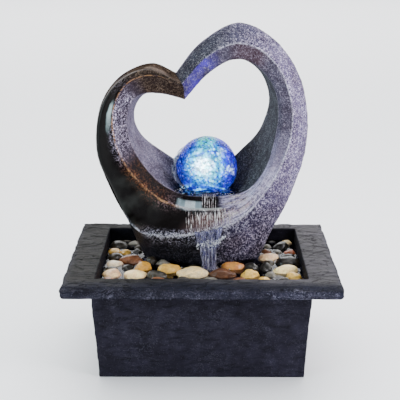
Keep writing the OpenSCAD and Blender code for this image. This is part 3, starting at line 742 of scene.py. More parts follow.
def make_basin():
    obj = remeshed("basin_slate", "basin", 1.0)
    mesh = obj.data
    p, no = vectors(mesh) / MM, vectors(mesh, "normal")
    x, y, z = p.T
    gap_x, gap_y = EDGE_X - np.abs(x), EDGE_Y - np.abs(y)
    gap = np.minimum(gap_x, gap_y)
    rim = smooth(RIM_LOW - 1, RIM_LOW, z)
    up = smooth(0.3, 0.8, no[:, 2]) * smooth(RIM_Z - 4, RIM_Z - 1.5, z)
    outside = rim * smooth(6, 1.5, gap)
    flank = smooth(0.5, 0.9, np.hypot(no[:, 0], no[:, 1])) * (1 - rim)
    inwards = (no[:, 0] * x + no[:, 1] * (y - 5) < 0) & (np.abs(x) < 84.5) & (y > -60) & (y < 70)

    # split and broken stone on the rim
    bite = np.clip(fbm(p / (13, 13, 7), 3, SEED + 20) * 0.9 + 0.35, 0, 1.6)
    relief, riser = riven(p, SEED + 21)
    crack = smooth(0.045, 0.0, np.abs(fbm(p / (19, 12, 12), 4, SEED + 27)))
    crack *= smooth(0.0, 0.3, noise3(p / 17, SEED + 28))
    reach = 8 + 3.5 * noise3(p / (24, 60, 60), 5)  # how far back the rough front edge starts
    lip = np.clip(1 - (y + EDGE_Y) / reach, 0, 1)
    drop = np.clip(1.1 - relief, 0, 2.6) * 0.5 + 0.8 * crack
    drop += smooth(5, 0, gap) * 0.9 * bite + lip * (2.0 + 0.8 * bite)
    side_cut = outside * (0.75 * bite + 0.6 * np.clip(noise3(p / (30, 18, 40), 8), 0, 1) - 0.2)
    fuller = 0.1 + 1.1 * smooth(8, 70, z)  # the walls are fullest just under the rim
    dent = 0.28 - fuller + 0.2 * fbm(p / 5, 3, SEED + 22) + 0.38 * fbm(p / 24, 3, SEED + 23)
    shift = -no * (flank * dent * ~inwards)[:, None] - no * (1, 1, 0) * side_cut[:, None]
    shift[:, 2] -= up * drop
    moved = p + shift * smooth(3, 8, z)[:, None]

    # the slab's lower arris stays full, and the foot of the walls hangs round the rubber feet
    fill = smooth(RIM_LOW + 4.5, RIM_LOW + 2, z) * smooth(RIM_LOW - 1.5, RIM_LOW - 0.5, z)
    fill *= smooth(3.6, 3.0, gap) * np.clip(gap - 0.4 - 0.5 * np.clip(bite, 0, 1), 0, 3)
    moved[:, 0] += np.sign(x) * fill * (gap_x < gap_y)
    moved[:, 1] += np.sign(y) * fill * (gap_x >= gap_y)
    foot = z < 4
    inset = np.minimum(np.abs(x[foot]).max() - np.abs(x), np.minimum(y - y[foot].min(), y[foot].max() - y))
    moved[:, 2] -= 1.7 * smooth(5, 2.5, inset) * smooth(12, 3, z)
    move_points(mesh, moved * MM)

    # olive grey to the left, paler to the right, indigo on the faces below
    right = smooth(-70, 95, x)
    facing = np.clip(up * smooth(-0.5, 2.0, gap), 0, 1) * smooth(0.25, 0.02, lip)
    tone = layered(mix(srgb(26, 26, 34), srgb(32, 32, 43), right[:, None]), (
        (facing, mix(srgb(35, 34, 32), srgb(66, 64, 66), right[:, None])),
        (0.9 * up * smooth(-61, -72, y), srgb(22, 23, 32)),
    )) * (1 - 0.3 * up * smooth(35, 72, y) * (1 - right))[:, None]
    tone = layered(tone, (
        (0.9 * (1 - rim), srgb(30, 28, 37)),
        (0.9 * (inwards & (z < RIM_Z - 1.2)), srgb(16, 15, 21)),
    )) * (1 - np.clip(0.75 * riser + 0.8 * crack, 0, 0.9) * up)[:, None]
    tone *= (1 + 0.28 * fbm(p / 9, 4, SEED + 25))[:, None]
    worn = np.clip(outside * (0.3 + 0.6 * fbm(p / 6, 3, SEED + 26)), 0, 1)
    edge_face = outside * np.maximum(1 - up, lip)
    scratch = np.clip(edge_face * (0.5 + 0.5 * right) + 0.14 * flank + 0.06 * up, 0, 1)
    paint(mesh, "tone", np.clip(tone, 0, 1))
    paint(mesh, "marks", np.stack([worn, scratch, facing], 1))
    dress(obj, slate_look(), "slate", "basin", "basin")


def slate_look():
    look = Look("slate")
    worn, scratch, _ = look.parts("marks")
    grain, cloud = look.noise(900, 4, 0.65), look.noise(75, 5, 0.6, 0.4)
    cleave = look.noise(240, 4, 0.6, 0.6, look.stretched(0.35, 1.6, 1.2, (0, 26, 24)))
    line = look.noise(95, 4, 0.62, 2.2, look.stretched(1, 1, 1.6, (20, 10, 40)))
    thin = look.span(look.math("ABSOLUTE", look.math("SUBTRACT", line, 0.5)), 0.012, 0.002)
    patch = look.span(look.noise(60, 3, 0.6), 0.46, 0.62)
    mark = look.times(look.times(thin, patch), scratch)
    dust = look.times(look.span(grain, 0.60, 0.76), look.plus(look.times(scratch, 0.5), 0.12))
    dark = look.blend(look.attribute("tone"), (0.004, 0.004, 0.006), look.span(cleave, 0.5, 0.3, 0, 0.75))
    clouded = look.shaded(dark, (2.0, 2.0, 2.1), look.span(cloud, 0.45, 0.75, 0, 0.6))
    lit = look.blend(clouded, srgb(150, 148, 172), look.math("MAXIMUM", mark, dust))
    edge = look.blend(lit, srgb(80, 78, 92), look.times(worn, look.span(grain, 0.45, 0.7)))
    normal = look.bump(look.plus(look.times(cleave, 0.8), look.times(grain, 0.3)), 1.0, 0.0014)
    return look.surface(edge, look.span(cloud, 0.3, 0.7, 0.5, 0.72), normal, Specular_IOR_Level=0.04)


# ---- pebbles
PEBBLES = {  # node: slot, tones to pick from, tone of the veins, how veined
    "pebbles_cream": ("pebble_cream", ((232, 200, 138), (222, 178, 138), (212, 198, 168), (238, 210, 150)),
                      (142, 88, 48), 0.6),
    "pebbles_amber": ("pebble_amber", ((204, 160, 70), (186, 136, 52), (178, 116, 62), (212, 172, 86)),
                      (112, 56, 24), 0.7),
    "pebbles_brown": ("pebble_brown", ((80, 50, 34), (140, 74, 46), (104, 64, 40), (124, 80, 52)),
                      (200, 146, 104), 0.5),
    "pebbles_grey": ("pebble_grey", ((64, 60, 51), (50, 46, 39), (112, 108, 100), (58, 54, 45)),
                     (128, 122, 106), 0.25),
    "pebbles_dark": ("pebble_dark", ((32, 29, 23), (42, 37, 29), (22, 20, 18), (52, 45, 34)),
                     (84, 78, 62), 0.3),
}


def islands(mesh):
    """A number for each vertex that says which separate lump it belongs to."""
    label = np.arange(len(mesh.vertices))
    edges = np.array([e.vertices[:] for e in mesh.edges])
    while True:
        low = np.minimum(label[edges[:, 0]], label[edges[:, 1]])
        before = label.copy()
        np.minimum.at(label, edges[:, 0], low)
        np.minimum.at(label, edges[:, 1], low)
        label = label[label]
        if (label == before).all():
            return label


def stone_frames(node):
    """Centre, half sizes and turn of each stone of a CAD node, in millimetres."""
    mesh = NODES[node].data
    p, label = vectors(mesh) / MM, islands(mesh)
    frames = []
    for tag in np.unique(label):
        q = p[label == tag]
        lo, hi = q.min(0), q.max(0)
        middle = (lo + hi) / 2
        x, y, _ = (q - middle).T
        longest, turn = 0, 0
        for angle in np.radians(np.arange(0, 180, 3)):
            reach = np.ptp(x * math.cos(angle) + y * math.sin(angle)) / 2
            if reach > longest + 1e-6:
                longest, turn = reach, angle
        across = np.ptp(y * math.cos(turn) - x * math.sin(turn)) / 2
        frames.append((middle, np.array([longest, across, (hi - lo)[2] / 2]), turn))
    return sorted(frames, key=lambda f: tuple(f[0]))


def turned(q, i, j, angle):
    """Points turned by an angle, from axis i towards axis j."""
    q, c, s = q.copy(), math.cos(angle), math.sin(angle)
    q[:, i], q[:, j] = q[:, i] * c - q[:, j] * s, q[:, i] * s + q[:, j] * c
    return q


def make_pebbles(node, number):
    slot, tones, vein_tone, veined = PEBBLES[node]
    sphere, faces = ball_points(5)
    floor = box_mm("pebble_tray")[1][2]
    pick = np.random.default_rng(SEED + number)
    parts, colours = [], []
    for k, (middle, half, turn) in enumerate(stone_frames(node)):
        seed = 100 * number + k
        shift = pick.uniform(-50, 50, 3)
        lumps = noise3(sphere * 0.85 + shift, seed) * 0.2 + noise3(sphere * 1.9 + shift, seed + 1) * 0.075
        q = unit(np.sign(sphere) * np.abs(sphere) ** pick.uniform(0.78, 1.0)) * (1 + lumps)[:, None]
        q *= half * (1.16, 1.16, 1.1) / np.abs(q).max(0)
        fine = fbm(q / 1.6 + shift, 3, seed + 2) * 0.06 + fbm(q / 5 + shift, 2, seed + 3) * 0.16
        near, _, tag = cells(q / 1.5 + shift, seed)
        pits = smooth(0.36, 0.14, near) * (tag < 0.24) * veined
        q += sphere * (fine - 0.22 * pits)[:, None]
        q = turned(q, 1, 2, pick.uniform(-0.16, 0.16))
        world = turned(q, 0, 1, turn) + middle
        world[:, 2] = np.maximum(world[:, 2], floor + 0.02)
        tone = np.array(srgb(*tones[pick.integers(len(tones))])) * pick.uniform(0.88, 1.18)
        other = srgb(*tones[pick.integers(len(tones))])
        vein = smooth(0.07, 0.015, np.abs(fbm(q / 7 + shift, 3, seed + 5))) * veined
        vein *= smooth(-0.1, 0.4, noise3(q / 5 + shift, seed + 6))
        colour = layered(tone, (
            (0.5 * smooth(-0.35, 0.5, fbm(q / 6 + shift, 3, seed + 4)), other),
            (0.7 * vein, srgb(*vein_tone)),
        ))
        colour *= ((1 - 0.6 * pits) * (1 + 0.3 * fbm(q / 1.1 + shift, 2, seed + 7)))[:, None]
        parts.append((world, faces))
        colours.append(np.clip(colour, 0, 1))
    verts, faces = gather(parts)
    obj = mesh_object(node + "_stones", verts * MM, faces)
    paint(obj.data, "tone", np.vstack(colours))
    dress(obj, pebble_look(node), slot, "tray", node)


def pebble_look(name):
    look = Look(name)
    speck, grain = look.noise(1500, 3, 0.7), look.noise(420, 4, 0.6)
    spotted = look.shaded(look.attribute("tone"), (0.35, 0.32, 0.3), look.span(speck, 0.60, 0.76, 0, 0.6))
    wet = look.shaded(spotted, (1.25, 1.25, 1.15), look.span(grain, 0.42, 0.68, 0, 0.8))
    normal = look.bump(look.plus(grain, look.times(speck, 0.4)), 0.35, 0.0005)
    return look.surface(wet, look.span(grain, 0.3, 0.7, 0.22, 0.44), normal, Specular_IOR_Level=0.25,
                        Coat_Weight=0.15, Coat_Roughness=0.1)


# ---- glass ball
BALL_LO, BALL_HI = box_mm("crystal_ball")
BALL = (BALL_LO + BALL_HI) / 2
BALL_R = (BALL_HI - BALL_LO)[0] / 2


def make_ball():
    """Crackled glass ball: a clear wet shell over a core broken into grains, with the LED's light painted into
    the core as glow.
    """
    sphere, faces = ball_points(6)
    core = sphere * (BALL_R - 0.9)
    near, second, tag = cells(core / 1.8, SEED + 40)
    core += sphere * (0.55 * smooth(0.0, 0.22, second - near) - 0.5)[:, None]
    inner = mesh_object("crystal_ball_core", (core + BALL) * MM, faces)

    # the painted glow: a white middle, raised towards the front, with cyan round it, blue left, violet right
    # and teal above
    side, rise = core[:, 0] / BALL_R, core @ (0, 0.29, 0.957) / BALL_R
    other, third = (tag * 17) % 1, (tag * 53) % 1
    ragged = 0.16 * (other - 0.5)
    white = smooth(0.48, 0.1, np.hypot(side + 0.1, rise + 0.03) + ragged)
    bright = smooth(0.9, 0.5, np.hypot(side - 0.02, rise) + ragged)
    blobs = smooth(0.2, 0.06, np.hypot(side - 0.47, rise - 0.42) + ragged)
    blobs += smooth(0.18, 0.06, np.hypot(side - 0.78, rise + 0.16) - ragged)
    streaks = smooth(0.05, 0.3, noise3(np.column_stack([side * 2.5, rise * 13, side * 0]), 47))
    streaks *= smooth(0.52, 0.75, -rise)
    upper = smooth(0.4, 0.8, rise)
    spark = ((tag * 37) % 1 > 0.8) * smooth(0.5, 0.2, near)
    crack = smooth(0.16, 0.0, second - near)
    colour = layered(srgb(36, 36, 214), (
        (0.95 * bright, srgb(0, 190, 255)),
        (0.96 * upper * smooth(0.45, 0.1, np.abs(side + 0.02)), srgb(0, 232, 222)),
        (0.95 * smooth(0.34, 0.66, side + ragged), srgb(52, 18, 255)),
        (0.7 * blobs, (0.6, 0.8, 1.0)),
        (0.8 * streaks, srgb(104, 206, 255)),
        (0.9 * white, (0.75, 1.0, 1.0)),
        (0.7 * (other > 0.66) * bright, srgb(120, 240, 255)),
        (0.85 * (other < 0.3) * (1 - 0.6 * white), srgb(8, 60, 200)),
        (0.6 * spark * (0.4 + 0.6 * bright), (0.8, 0.95, 1.0)),
    ))
    power = 0.22 + 0.2 * upper + 0.52 * bright + 1.9 * white + 0.36 * blobs + 0.6 * streaks
    power *= mix(0.3, 2.1, third**1.5) * (1 - 0.75 * crack) * mix(1, 0.3, smooth(-0.8, -0.93, rise))
    power += (0.1 + 0.6 * bright) * spark
    paint(inner.data, "glow", np.clip(colour, 0, 1))
    paint(inner.data, "power", np.stack([power / 3, tag, crack], 1))
    dress(inner, core_look(), "ball_glass", "ball", "crystal_ball")

    ripple = np.minimum(fbm(sphere * 2.2, 3, SEED + 41) * 0.12, 0.15)
    outer = sphere * (BALL_R - 0.15 + ripple)[:, None] + BALL
    shell = mesh_object("crystal_ball_shell", outer * MM, faces)
    dress(shell, shell_look(), "ball_glass", "ball")


def core_look():
    look = Look("ball_core")
    glow, power, grit = look.attribute("glow"), look.parts("power")[0], look.noise(1400, 2, 0.6)
    # emission paints the light of the LED below into the core; the ball itself is no lamp
    level = look.times(look.times(power, 9.0), look.span(grit, 0.32, 0.68, 0.6, 1.5))
    dim = look.blend(glow, (0.2, 0.2, 0.3), 1.0, "MULTIPLY")
    frost = look.blend(dim, (0.5, 0.6, 0.8), look.span(grit, 0.5, 0.75, 0, 0.3))
    normal = look.bump(look.plus(grit, look.voronoi(900)), 0.8, 0.0012)
    return look.surface(frost, 0.18, normal, Specular_IOR_Level=0.1, Emission_Color=glow,
                        Emission_Strength=level)


def shell_look():
    look = Look("ball_shell")
    film = look.plus(look.noise(90, 3, 0.5, 0.5), look.times(look.noise(420, 2), 0.25))
    rough = look.span(look.noise(200, 3), 0.4, 0.7, 0.01, 0.05)
    return look.surface((0.97, 0.99, 1.0), rough, look.bump(film, 0.35, 0.0012), Transmission_Weight=1.0,
                        IOR=1.15, Specular_IOR_Level=0.3)


# ---- water
LOW = np.array([heart_at(u) for u in np.linspace(6.2, 10.6, 240)])  # the stations of the heart's low edges
TRAY_LOW, TRAY_HIGH = box_mm("pebble_tray")
SPLASH = (6.0, -12.0)  # where the falling stream meets the pool
FALL = (-1.0, 13.0)  # left and right side of the falling stream


def edge_at(edge, x):
    """Point on one of the heart's low edges at a given x."""
    along, y, z = LOW[:, edge].T
    return np.array([x, np.interp(x, along, y), np.interp(x, along, z)])


def water_look(name, tint, streak, white, bumpy=0.35, ior=1.33, clear_to=0.5, white_from=0.68):
    """Moving water: clear, with white broken streaks down its length."""
    look = Look(name)
    lines = look.noise(520, 3, 0.6, 0.6, look.stretched(1.5, 1.5, streak))
    foam = look.span(lines, clear_to, white_from)
    normal = look.bump(look.plus(lines, look.noise(260, 3)), bumpy, 0.001)
    return look.surface(look.blend(tint, (0.95, 0.96, 1.0), foam), look.span(lines, 0.4, 0.7, 0.06, 0.3),
                        normal, IOR=ior,
                        Transmission_Weight=look.math("SUBTRACT", 1.0, look.times(foam, white)))


def still_look(name, tint, ripple, shine, ior=1.33):
    """Still water, tinted by what it stands in."""
    look = Look(name)
    wave, fine = look.noise(70, 3, 0.5, 0.6), look.noise(330, 3, 0.5)
    colour = look.blend(tint, scaled(tint, 0.8), look.span(wave, 0.4, 0.7))
    normal = look.bump(look.plus(wave, look.times(fine, 0.3)), ripple, 0.001)
    return look.surface(colour, look.span(fine, 0.4, 0.7, 0.015, 0.05), normal, Transmission_Weight=1.0,
                        IOR=ior, Specular_IOR_Level=shine)


def sway(pick, t, low, high):
    """A wave along t with a random rate and start."""
    return np.sin(t * pick.uniform(low, high) + pick.uniform(0, 6))


def hump(start, end, n):
    """Part of the arch of a sine between 0 and 1."""
    return np.sin(np.linspace(start, end, n) * math.pi)


def make_side_water():
    """Water standing off the left side of the ball where it wells up and turns down into the cup."""
    pick = np.random.default_rng(SEED + 55)
    parts, n = [], 26
    for _ in range(26):
        turn = np.linspace(pick.uniform(148, 172), pick.uniform(200, 222), n)
        a = np.radians(turn)
        r = BALL_R + 0.4 + np.exp(-(((turn - 192) / 22) ** 2)) * pick.uniform(0.2, 4.2)
        r += 0.25 * sway(pick, a, 10, 24)
        path = BALL + np.column_stack([r * np.cos(a), np.full(n, pick.uniform(-9, 4)), r * np.sin(a)])
        parts.append(strand(path, pick.uniform(0.3, 0.8) * hump(0.04, 0.96, n) ** 0.7))
    water("side_water", parts, water_look("side_water", (0.62, 0.66, 0.78), 0.5, 0.6, 0.1, 1.12, 0.42, 0.7))


def make_cup_water():
    """Still water round the ball, level with the lip of the heart."""
    level = HEART[8][3][1] + 1.2
    a = np.linspace(0, 2 * math.pi, 144, endpoint=False)
    outline = np.column_stack([BALL[0] + 33 * np.cos(a), BALL[1] - 0.5 + 22 * np.sin(a)])

    def rise(q):
        d = np.hypot(*(q - BALL[:2]).T)
        rings = 0.35 * np.sin(d * 1.15) * smooth(34, 18, d)
        return rings + 0.25 * noise3(np.column_stack([q / 6, 0 * d]), 51)

    water("cup_water", [slab(outline, level, level - 5, rise)],
          still_look("cup_water", (0.66, 0.6, 0.64), 0.7, 0.35))


def make_ball_film():
    """Water that wells up round the ball, thickest low on its left."""
    sphere, faces = ball_points(5)
    swell = 3.4 * smooth(0.5, 1.0, sphere @ unit([-0.93, -0.1, -0.2]))
    swell += 1.2 * smooth(0.55, 1.0, sphere @ unit([0.75, -0.45, -0.55]))
    ripple = 0.25 + np.clip(fbm(sphere * 2.6, 3, SEED + 42) * 0.3, -0.15, 0.5)
    wobble = 1 + 0.3 * fbm(sphere * 5, 2, SEED + 43)
    points = sphere * (BALL_R + ripple + swell * wobble)[:, None] + BALL
    water("ball_film", [(points, faces)], still_look("ball_film", (0.98, 0.99, 1.0), 0.3, 0.5, 1.04))


def make_pool_water():
    """Water between the pebbles, just below the rim of the basin."""
    xs, ys = (np.linspace(TRAY_LOW[i] - past, TRAY_HIGH[i] + past, 60) for i, past in enumerate((0.9, 0.5)))
    outline = np.array([(x, ys[0]) for x in xs[:-1]] + [(xs[-1], y) for y in ys[:-1]] +
                       [(x, ys[-1]) for x in xs[:0:-1]] + [(xs[0], y) for y in ys[:0:-1]])

    def rise(q):
        d = np.hypot(*(q - SPLASH).T)
        chop = noise3(np.column_stack([q / 9, 0 * d + 3]), 52) * 0.4
        return 0.5 * np.sin(d * 0.9) * np.exp(-d / 26) + chop + 1.6 * np.exp(-((d / 7) ** 2))

    water("pool_water", [slab(outline, TRAY_HIGH[2] + 7.5, TRAY_HIGH[2] + 0.25, rise, 70)],
          still_look("pool_water", (0.3, 0.3, 0.44), 0.3, 0.1, 1.16), "basin")


def make_lip_streams():
    """Water running over the lip and down the two front faces in strands, with a bead along the ledge."""
    pick = np.random.default_rng(SEED + 60)
    parts = []
    for x in np.linspace(0.5, 11, 7):
        top, low = edge_at(FRONT_EDGE, x), edge_at(INNER_RIDGE, x + pick.normal(0, 0.5))
        t = np.linspace(-0.12, 1.08, 16)
        path = mix(top, low, t[:, None]) + (0, -0.35, 0.3)
        path[:, 0] += 0.12 * sway(pick, t, 4, 9)
        size = pick.uniform(0.16, 0.34) * (1 + 0.3 * sway(pick, t, 6, 12))
        parts.append(strand(path, size * np.sin(np.clip(t + 0.14, 0.02, 1.2) / 1.24 * math.pi) ** 0.35, 1.2))
    for x in np.linspace(-13, 24, 26):
        x = x + pick.normal(0, 0.5)
        top, low = edge_at(INNER_RIDGE, x), edge_at(RIDGE, x + pick.normal(1, 0.8))
        run = np.linspace(0, 1, 24)
        t = mix(pick.uniform(0.0, 0.1), pick.uniform(0.8, 1.0), run)
        path = mix(top, low, t[:, None]) + (0, -0.2, 0)
        path[:, 0] += 0.45 * sway(pick, t, 3, 7)
        size = pick.uniform(0.3, 0.75) * (1 + 0.35 * sway(pick, t, 5, 14))
        fade = np.sin(run * math.pi).clip(0.03) ** 0.5 * mix(1.15, 0.5, run)
        parts.append(strand(path, size * fade, 1.25))
    for _ in range(18):  # water drawn out along the right arm
        c, start = pick.uniform(3.1, 4.75), pick.uniform(8.4, 9.3)
        us = np.linspace(start, start + pick.uniform(0.4, 1.1), 26)
        cut = np.array([heart_at(u) for u in us])
        side = int(c)
        path = mix(cut[:, side], cut[:, side + 1], c - side) + (0, -0.25, 0.1)
        path[:, 1] += 0.2 * np.sin(us * pick.uniform(10, 25))
        fade = hump(0.02, 0.98, 26) ** 0.6
        parts.append(strand(path, pick.uniform(0.2, 0.5) * fade, 1.0, 8, (0.4, -0.2, 0.9)))
    xs = np.linspace(-25, 23, 80)
    ledge = np.array([edge_at(INNER_RIDGE, x) for x in xs]) + (0, -0.2, 0.1)
    beads = (0.75 + 0.55 * fbm(ledge / 5, 3, 62)).clip(0.12) * smooth(-25, -20, xs) * smooth(23, 18, xs)
    parts.append(strand(ledge, beads + 0.02, 1.0, 10, (0, 0, 1.0)))
    water("lip_streams", parts, water_look("lip_water", (0.92, 0.74, 0.7), 0.2, 0.62, 0.05, 1.12, 0.4, 0.66))


def film(rows, depth, seed, size, out, back):
    """A closed sheet of water on rows of points, with an uneven depth given by (mask, least, more)."""
    grid = np.array(rows)
    mask, least, more = depth
    thick = mask * (least + more * fbm(grid.reshape(-1, 3) / size, 2, seed).reshape(grid.shape[:2]))
    loop = np.concatenate([grid + np.array(out) * thick[..., None], (grid + back)[:, ::-1]], 1)
    return loop.reshape(-1, 3), grid_faces(*loop.shape[:2])


def make_ledge_water():
    """A shallow sheet of water that lingers on the left end of the ledge."""
    xs, n = np.linspace(-23, -2, 60), 14
    t = np.linspace(0.42, 1.04, n)[:, None]
    rows = [mix(edge_at(FRONT_EDGE, x), edge_at(INNER_RIDGE, x), t) for x in xs]
    shore = np.minimum(smooth(-23, -17, xs), smooth(-2, -8, xs))[:, None] * hump(0.05, 0.95, n)
    water("ledge_water", [film(rows, (shore, 0.8, 0.5), 64, (5, 5, 2.5), (0, -0.8, 0.6), (0, 0.9, -0.6))],
          still_look("ledge_water", (0.85, 0.95, 0.95), 0.15, 0.5, 1.12))


def make_lip_film():
    """Thin sheet of water over the two front faces under the lip."""
    xs, t = np.linspace(-19, 27, 90), np.linspace(0, 1, 12)[:, None]
    rows = []
    for x in xs:
        e, b, w = (edge_at(j, x) for j in (FRONT_EDGE, INNER_RIDGE, RIDGE))
        legs = mix(e + (0, 3.5, 1.4), e, t)[:-1], mix(e, b, t)[:-1], mix(b, mix(b, w, 0.18), t)
        rows.append(np.vstack(legs))
    side = np.minimum(smooth(-19, -13, xs), smooth(27, 21, xs))[:, None]
    water("lip_film", [film(rows, (side, 0.55, 0.35), 61, (3, 8, 8), (0, -0.9, 0.45), (0, 0.9, -0.4))],
          still_look("film_water", (0.93, 0.94, 0.98), 0.15, 0.25, 1.12))


def make_fall():
    """The stream that leaves the front ridge and drops into the pool."""
    pick = np.random.default_rng(SEED + 70)
    low = TRAY_HIGH[2] + 7
    parts = []

    def path_down(top, end, t):
        return np.column_stack([mix(a, b, t**bend) for a, b, bend in zip(top, end, (1, 0.55, 1.25))])

    for x in np.linspace(FALL[0] - 3.5, FALL[1] + 3.5, 30):
        x = x + pick.normal(0, 0.4)
        top = edge_at(RIDGE, x) + (0, -0.6, 0.8)
        end = (mix(x, SPLASH[0], 0.3) + pick.normal(0, 0.6), SPLASH[1] + pick.normal(0, 1.5), low)
        edge = x < FALL[0] or x > FALL[1]
        t = np.linspace(0, pick.uniform(0.25, 0.6) if edge else 1.0, 30)
        path = path_down(top, end, t)
        path[:, 0] += 0.5 * sway(pick, t, 5, 14)
        size = pick.uniform(0.4, 1.1) * (1 + 0.3 * sway(pick, t, 9, 22))
        parts.append(strand(path, size * mix(1, 0.8, t), 1.3))
    for x in (FALL[0] + 3, (FALL[0] + FALL[1]) / 2, FALL[1] - 3):  # the solid heart of the stream
        t = np.linspace(0, 1, 40)
        end = (mix(x, SPLASH[0], 0.3), SPLASH[1] + 1, low)
        size = mix(1.1, 0.8, t) * (1 + 0.15 * np.sin(t * 17 + x))
        parts.append(strand(path_down(edge_at(RIDGE, x) + (0, 0.2, 0.4), end, t), size, 2.6, 14))
    look = water_look("falling_water", (0.64, 0.62, 0.86), 0.16, 0.22, 0.1, 1.12, 0.42, 0.75)
    obj = water("falling_stream", parts, look, None)
    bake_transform(obj)


def make_drops():
    """Sparkling foam along the front ridge and round the foot of the stream."""
    sphere, faces = ball_points(2)
    pick = np.random.default_rng(SEED + 80)

    def drop(at, small, large):
        r = pick.uniform(small, large)
        return sphere * pick.uniform(0.7, 1.2, 3) * r + at, faces

    ridge = []
    for _ in range(760):
        x = pick.normal(-2, 26)
        if -46 < x < 44:
            edge = edge_at(RIDGE, x)
            at = edge + (0, -0.3, 0.2) + pick.normal(0, 1, 3) * (0.5, 0.4, 0.9)
            at[2] += abs(pick.normal(0, 1.5)) * (pick.uniform() < 0.4)
            at[1] = min(at[1], -3.0 + abs(at[2] - edge[2]) * 0.35)
            ridge.append(drop(at, 0.1, 0.31))
    for _ in range(130):  # where the stream strikes the foot
        x = pick.uniform(FALL[0] - 4, FALL[1] + 2)
        at = np.array([x, -10.5, edge_at(RIDGE, x)[2] - 8.5]) + pick.normal(0, 1, 3) * (0.6, 0.9, 1.8)
        ridge.append(drop(at, 0.15, 0.5))
    for _ in range(80):  # and is thrown up to the right
        at = mix((7, -9.5, 94), (18, -9.5, 102), pick.uniform(0, 1)) + pick.normal(0, 1, 3) * (0.8, 0.7, 0.9)
        ridge.append(drop(at, 0.2, 0.55))
    water("ridge_foam", ridge, water_look("foam_water", srgb(228, 234, 246), 1.0, 0.95, 0.35, 1.2, 0.35, 0.6))

    pool = []
    for _ in range(420):
        a, d = pick.uniform(0, 2 * math.pi), abs(pick.normal(0, 7))
        z = TRAY_HIGH[2] + 8 + abs(pick.normal(0, 1.6)) * math.exp(-d / 8)
        pool.append(drop((SPLASH[0] + 1.5 * d * math.cos(a), SPLASH[1] + 0.8 * d * math.sin(a), z), 0.2, 0.6))
    water("pool_foam", pool, water_look("pool_foam", srgb(215, 218, 235), 1.0, 0.8), "basin")


# ---- looks of the CAD pieces
def moulded(name, colour, rough=0.42, grain=900, bump=0.25, dusty=0.12):
    """Injection-moulded plastic: fine spark-eroded grain, faint flow marks and a little dust."""
    look = Look(name)
    fine = look.noise(grain * 2.2, 3, 0.6)
    flow = look.noise(60, 4, 0.5, 1.2, look.stretched(0.4, 1, 1.8))
    tone = look.blend(colour, scaled(colour, 1.5, 0.01), look.span(flow, 0.35, 0.75, 0, 0.5))
    worn = look.blend(tone, (0.4, 0.39, 0.37), look.span(fine, 0.62, 0.8, 0, dusty))
    finish = look.span(flow, 0.3, 0.7, rough - 0.06, rough + 0.08)
    finish = look.plus(finish, look.span(fine, 0.3, 0.7, -0.03, 0.05))
    return look.surface(worn, finish, look.bump(fine, bump, 0.0003))


def rubber(name, colour):
    look = Look(name)
    fine, bloom = look.noise(2400, 3, 0.7), look.noise(150, 4, 0.6)
    tone = look.blend(colour, scaled(colour, 2, 0.02), look.span(bloom, 0.4, 0.75, 0, 0.6))
    return look.surface(tone, look.span(bloom, 0.3, 0.7, 0.7, 0.9), look.bump(fine, 0.5, 0.0004),
                        Specular_IOR_Level=0.3)


def metal(name, colour, rough, lines, bump=0.3):
    """Metal with drawn lines or laminations across one direction."""
    look = Look(name)
    wave, stain = look.noise(lines, 2, 0.6, 0.0, look.stretched(1, 0.03, 0.03)), look.noise(120, 4, 0.6)
    tone = look.blend(colour, scaled(colour, 0.45), look.span(wave, 0.55, 0.35, 0, 0.7))
    aged = look.blend(tone, scaled(colour, 0.5), look.span(stain, 0.5, 0.8, 0, 0.6))
    return look.surface(aged, look.span(stain, 0.3, 0.7, rough, rough + 0.15), look.bump(wave, bump, 0.0004),
                        Metallic=1.0)


def ceramic(name, colour):
    look = Look(name)
    fine, cloud = look.noise(1800, 3), look.noise(160, 3)
    tone = look.blend(colour, scaled(colour, 0.82), look.span(cloud, 0.4, 0.7, 0, 0.5))
    return look.surface(tone, look.span(fine, 0.3, 0.7, 0.22, 0.32), look.bump(fine, 0.15, 0.0002))


def clear(name, colour, frost=0.12, ior=1.45):
    """Clear plastic with moulding swirl and fine haze."""
    look = Look(name)
    swirl, haze = look.noise(110, 3, 0.5, 1.0), look.noise(1300, 3, 0.6)
    tone = look.blend(colour, scaled(colour, 0.9), look.span(swirl, 0.4, 0.7))
    return look.surface(tone, look.span(haze, 0.35, 0.7, frost * 0.5, frost * 1.6),
                        look.bump(swirl, 0.2, 0.0006), Transmission_Weight=0.92, IOR=ior)


def circuit(name):
    """Green solder mask with tinned tracks and pads."""
    look = Look(name)
    line = look.span(look.voronoi(420, "DISTANCE_TO_EDGE", 0.55), 0.09, 0.05)
    pad = look.span(look.voronoi(420, random=0.55), 0.2, 0.14)
    tone = look.blend(srgb(22, 92, 48), srgb(40, 128, 70), line)
    tinned = look.blend(tone, srgb(188, 188, 182), pad)
    return look.surface(tinned, look.span(look.noise(1500, 3), 0.3, 0.7, 0.25, 0.4),
                        look.bump(look.math("MAXIMUM", line, pad), 0.5, 0.0001), Metallic=pad)


def wound(name):
    """Enamelled copper wire, wound in close turns."""
    look = Look(name)
    wave = look.add("TexWave", bands_direction="X", Vector=look.place, Scale=420.0, Distortion=0.6)
    wire, age = wave.outputs["Fac"], look.noise(240, 3)
    tone = look.blend(srgb(186, 96, 48), srgb(92, 38, 18), look.span(wire, 0.5, 0.1))
    warm = look.blend(tone, srgb(150, 70, 34), look.span(age, 0.4, 0.7))
    return look.surface(warm, 0.28, look.bump(wire, 0.9, 0.0004), Metallic=0.85)


def bulb(name):
    look = Look(name)
    rings = look.voronoi(900)
    glow = look.blend(srgb(120, 190, 255), (1.0, 1.0, 1.0), look.span(rings, 0.3, 0.7))
    return look.surface(glow, 0.15, look.bump(rings, 0.2, 0.0003), Emission_Color=glow,
                        Emission_Strength=look.span(rings, 0.2, 0.8, 5, 9))


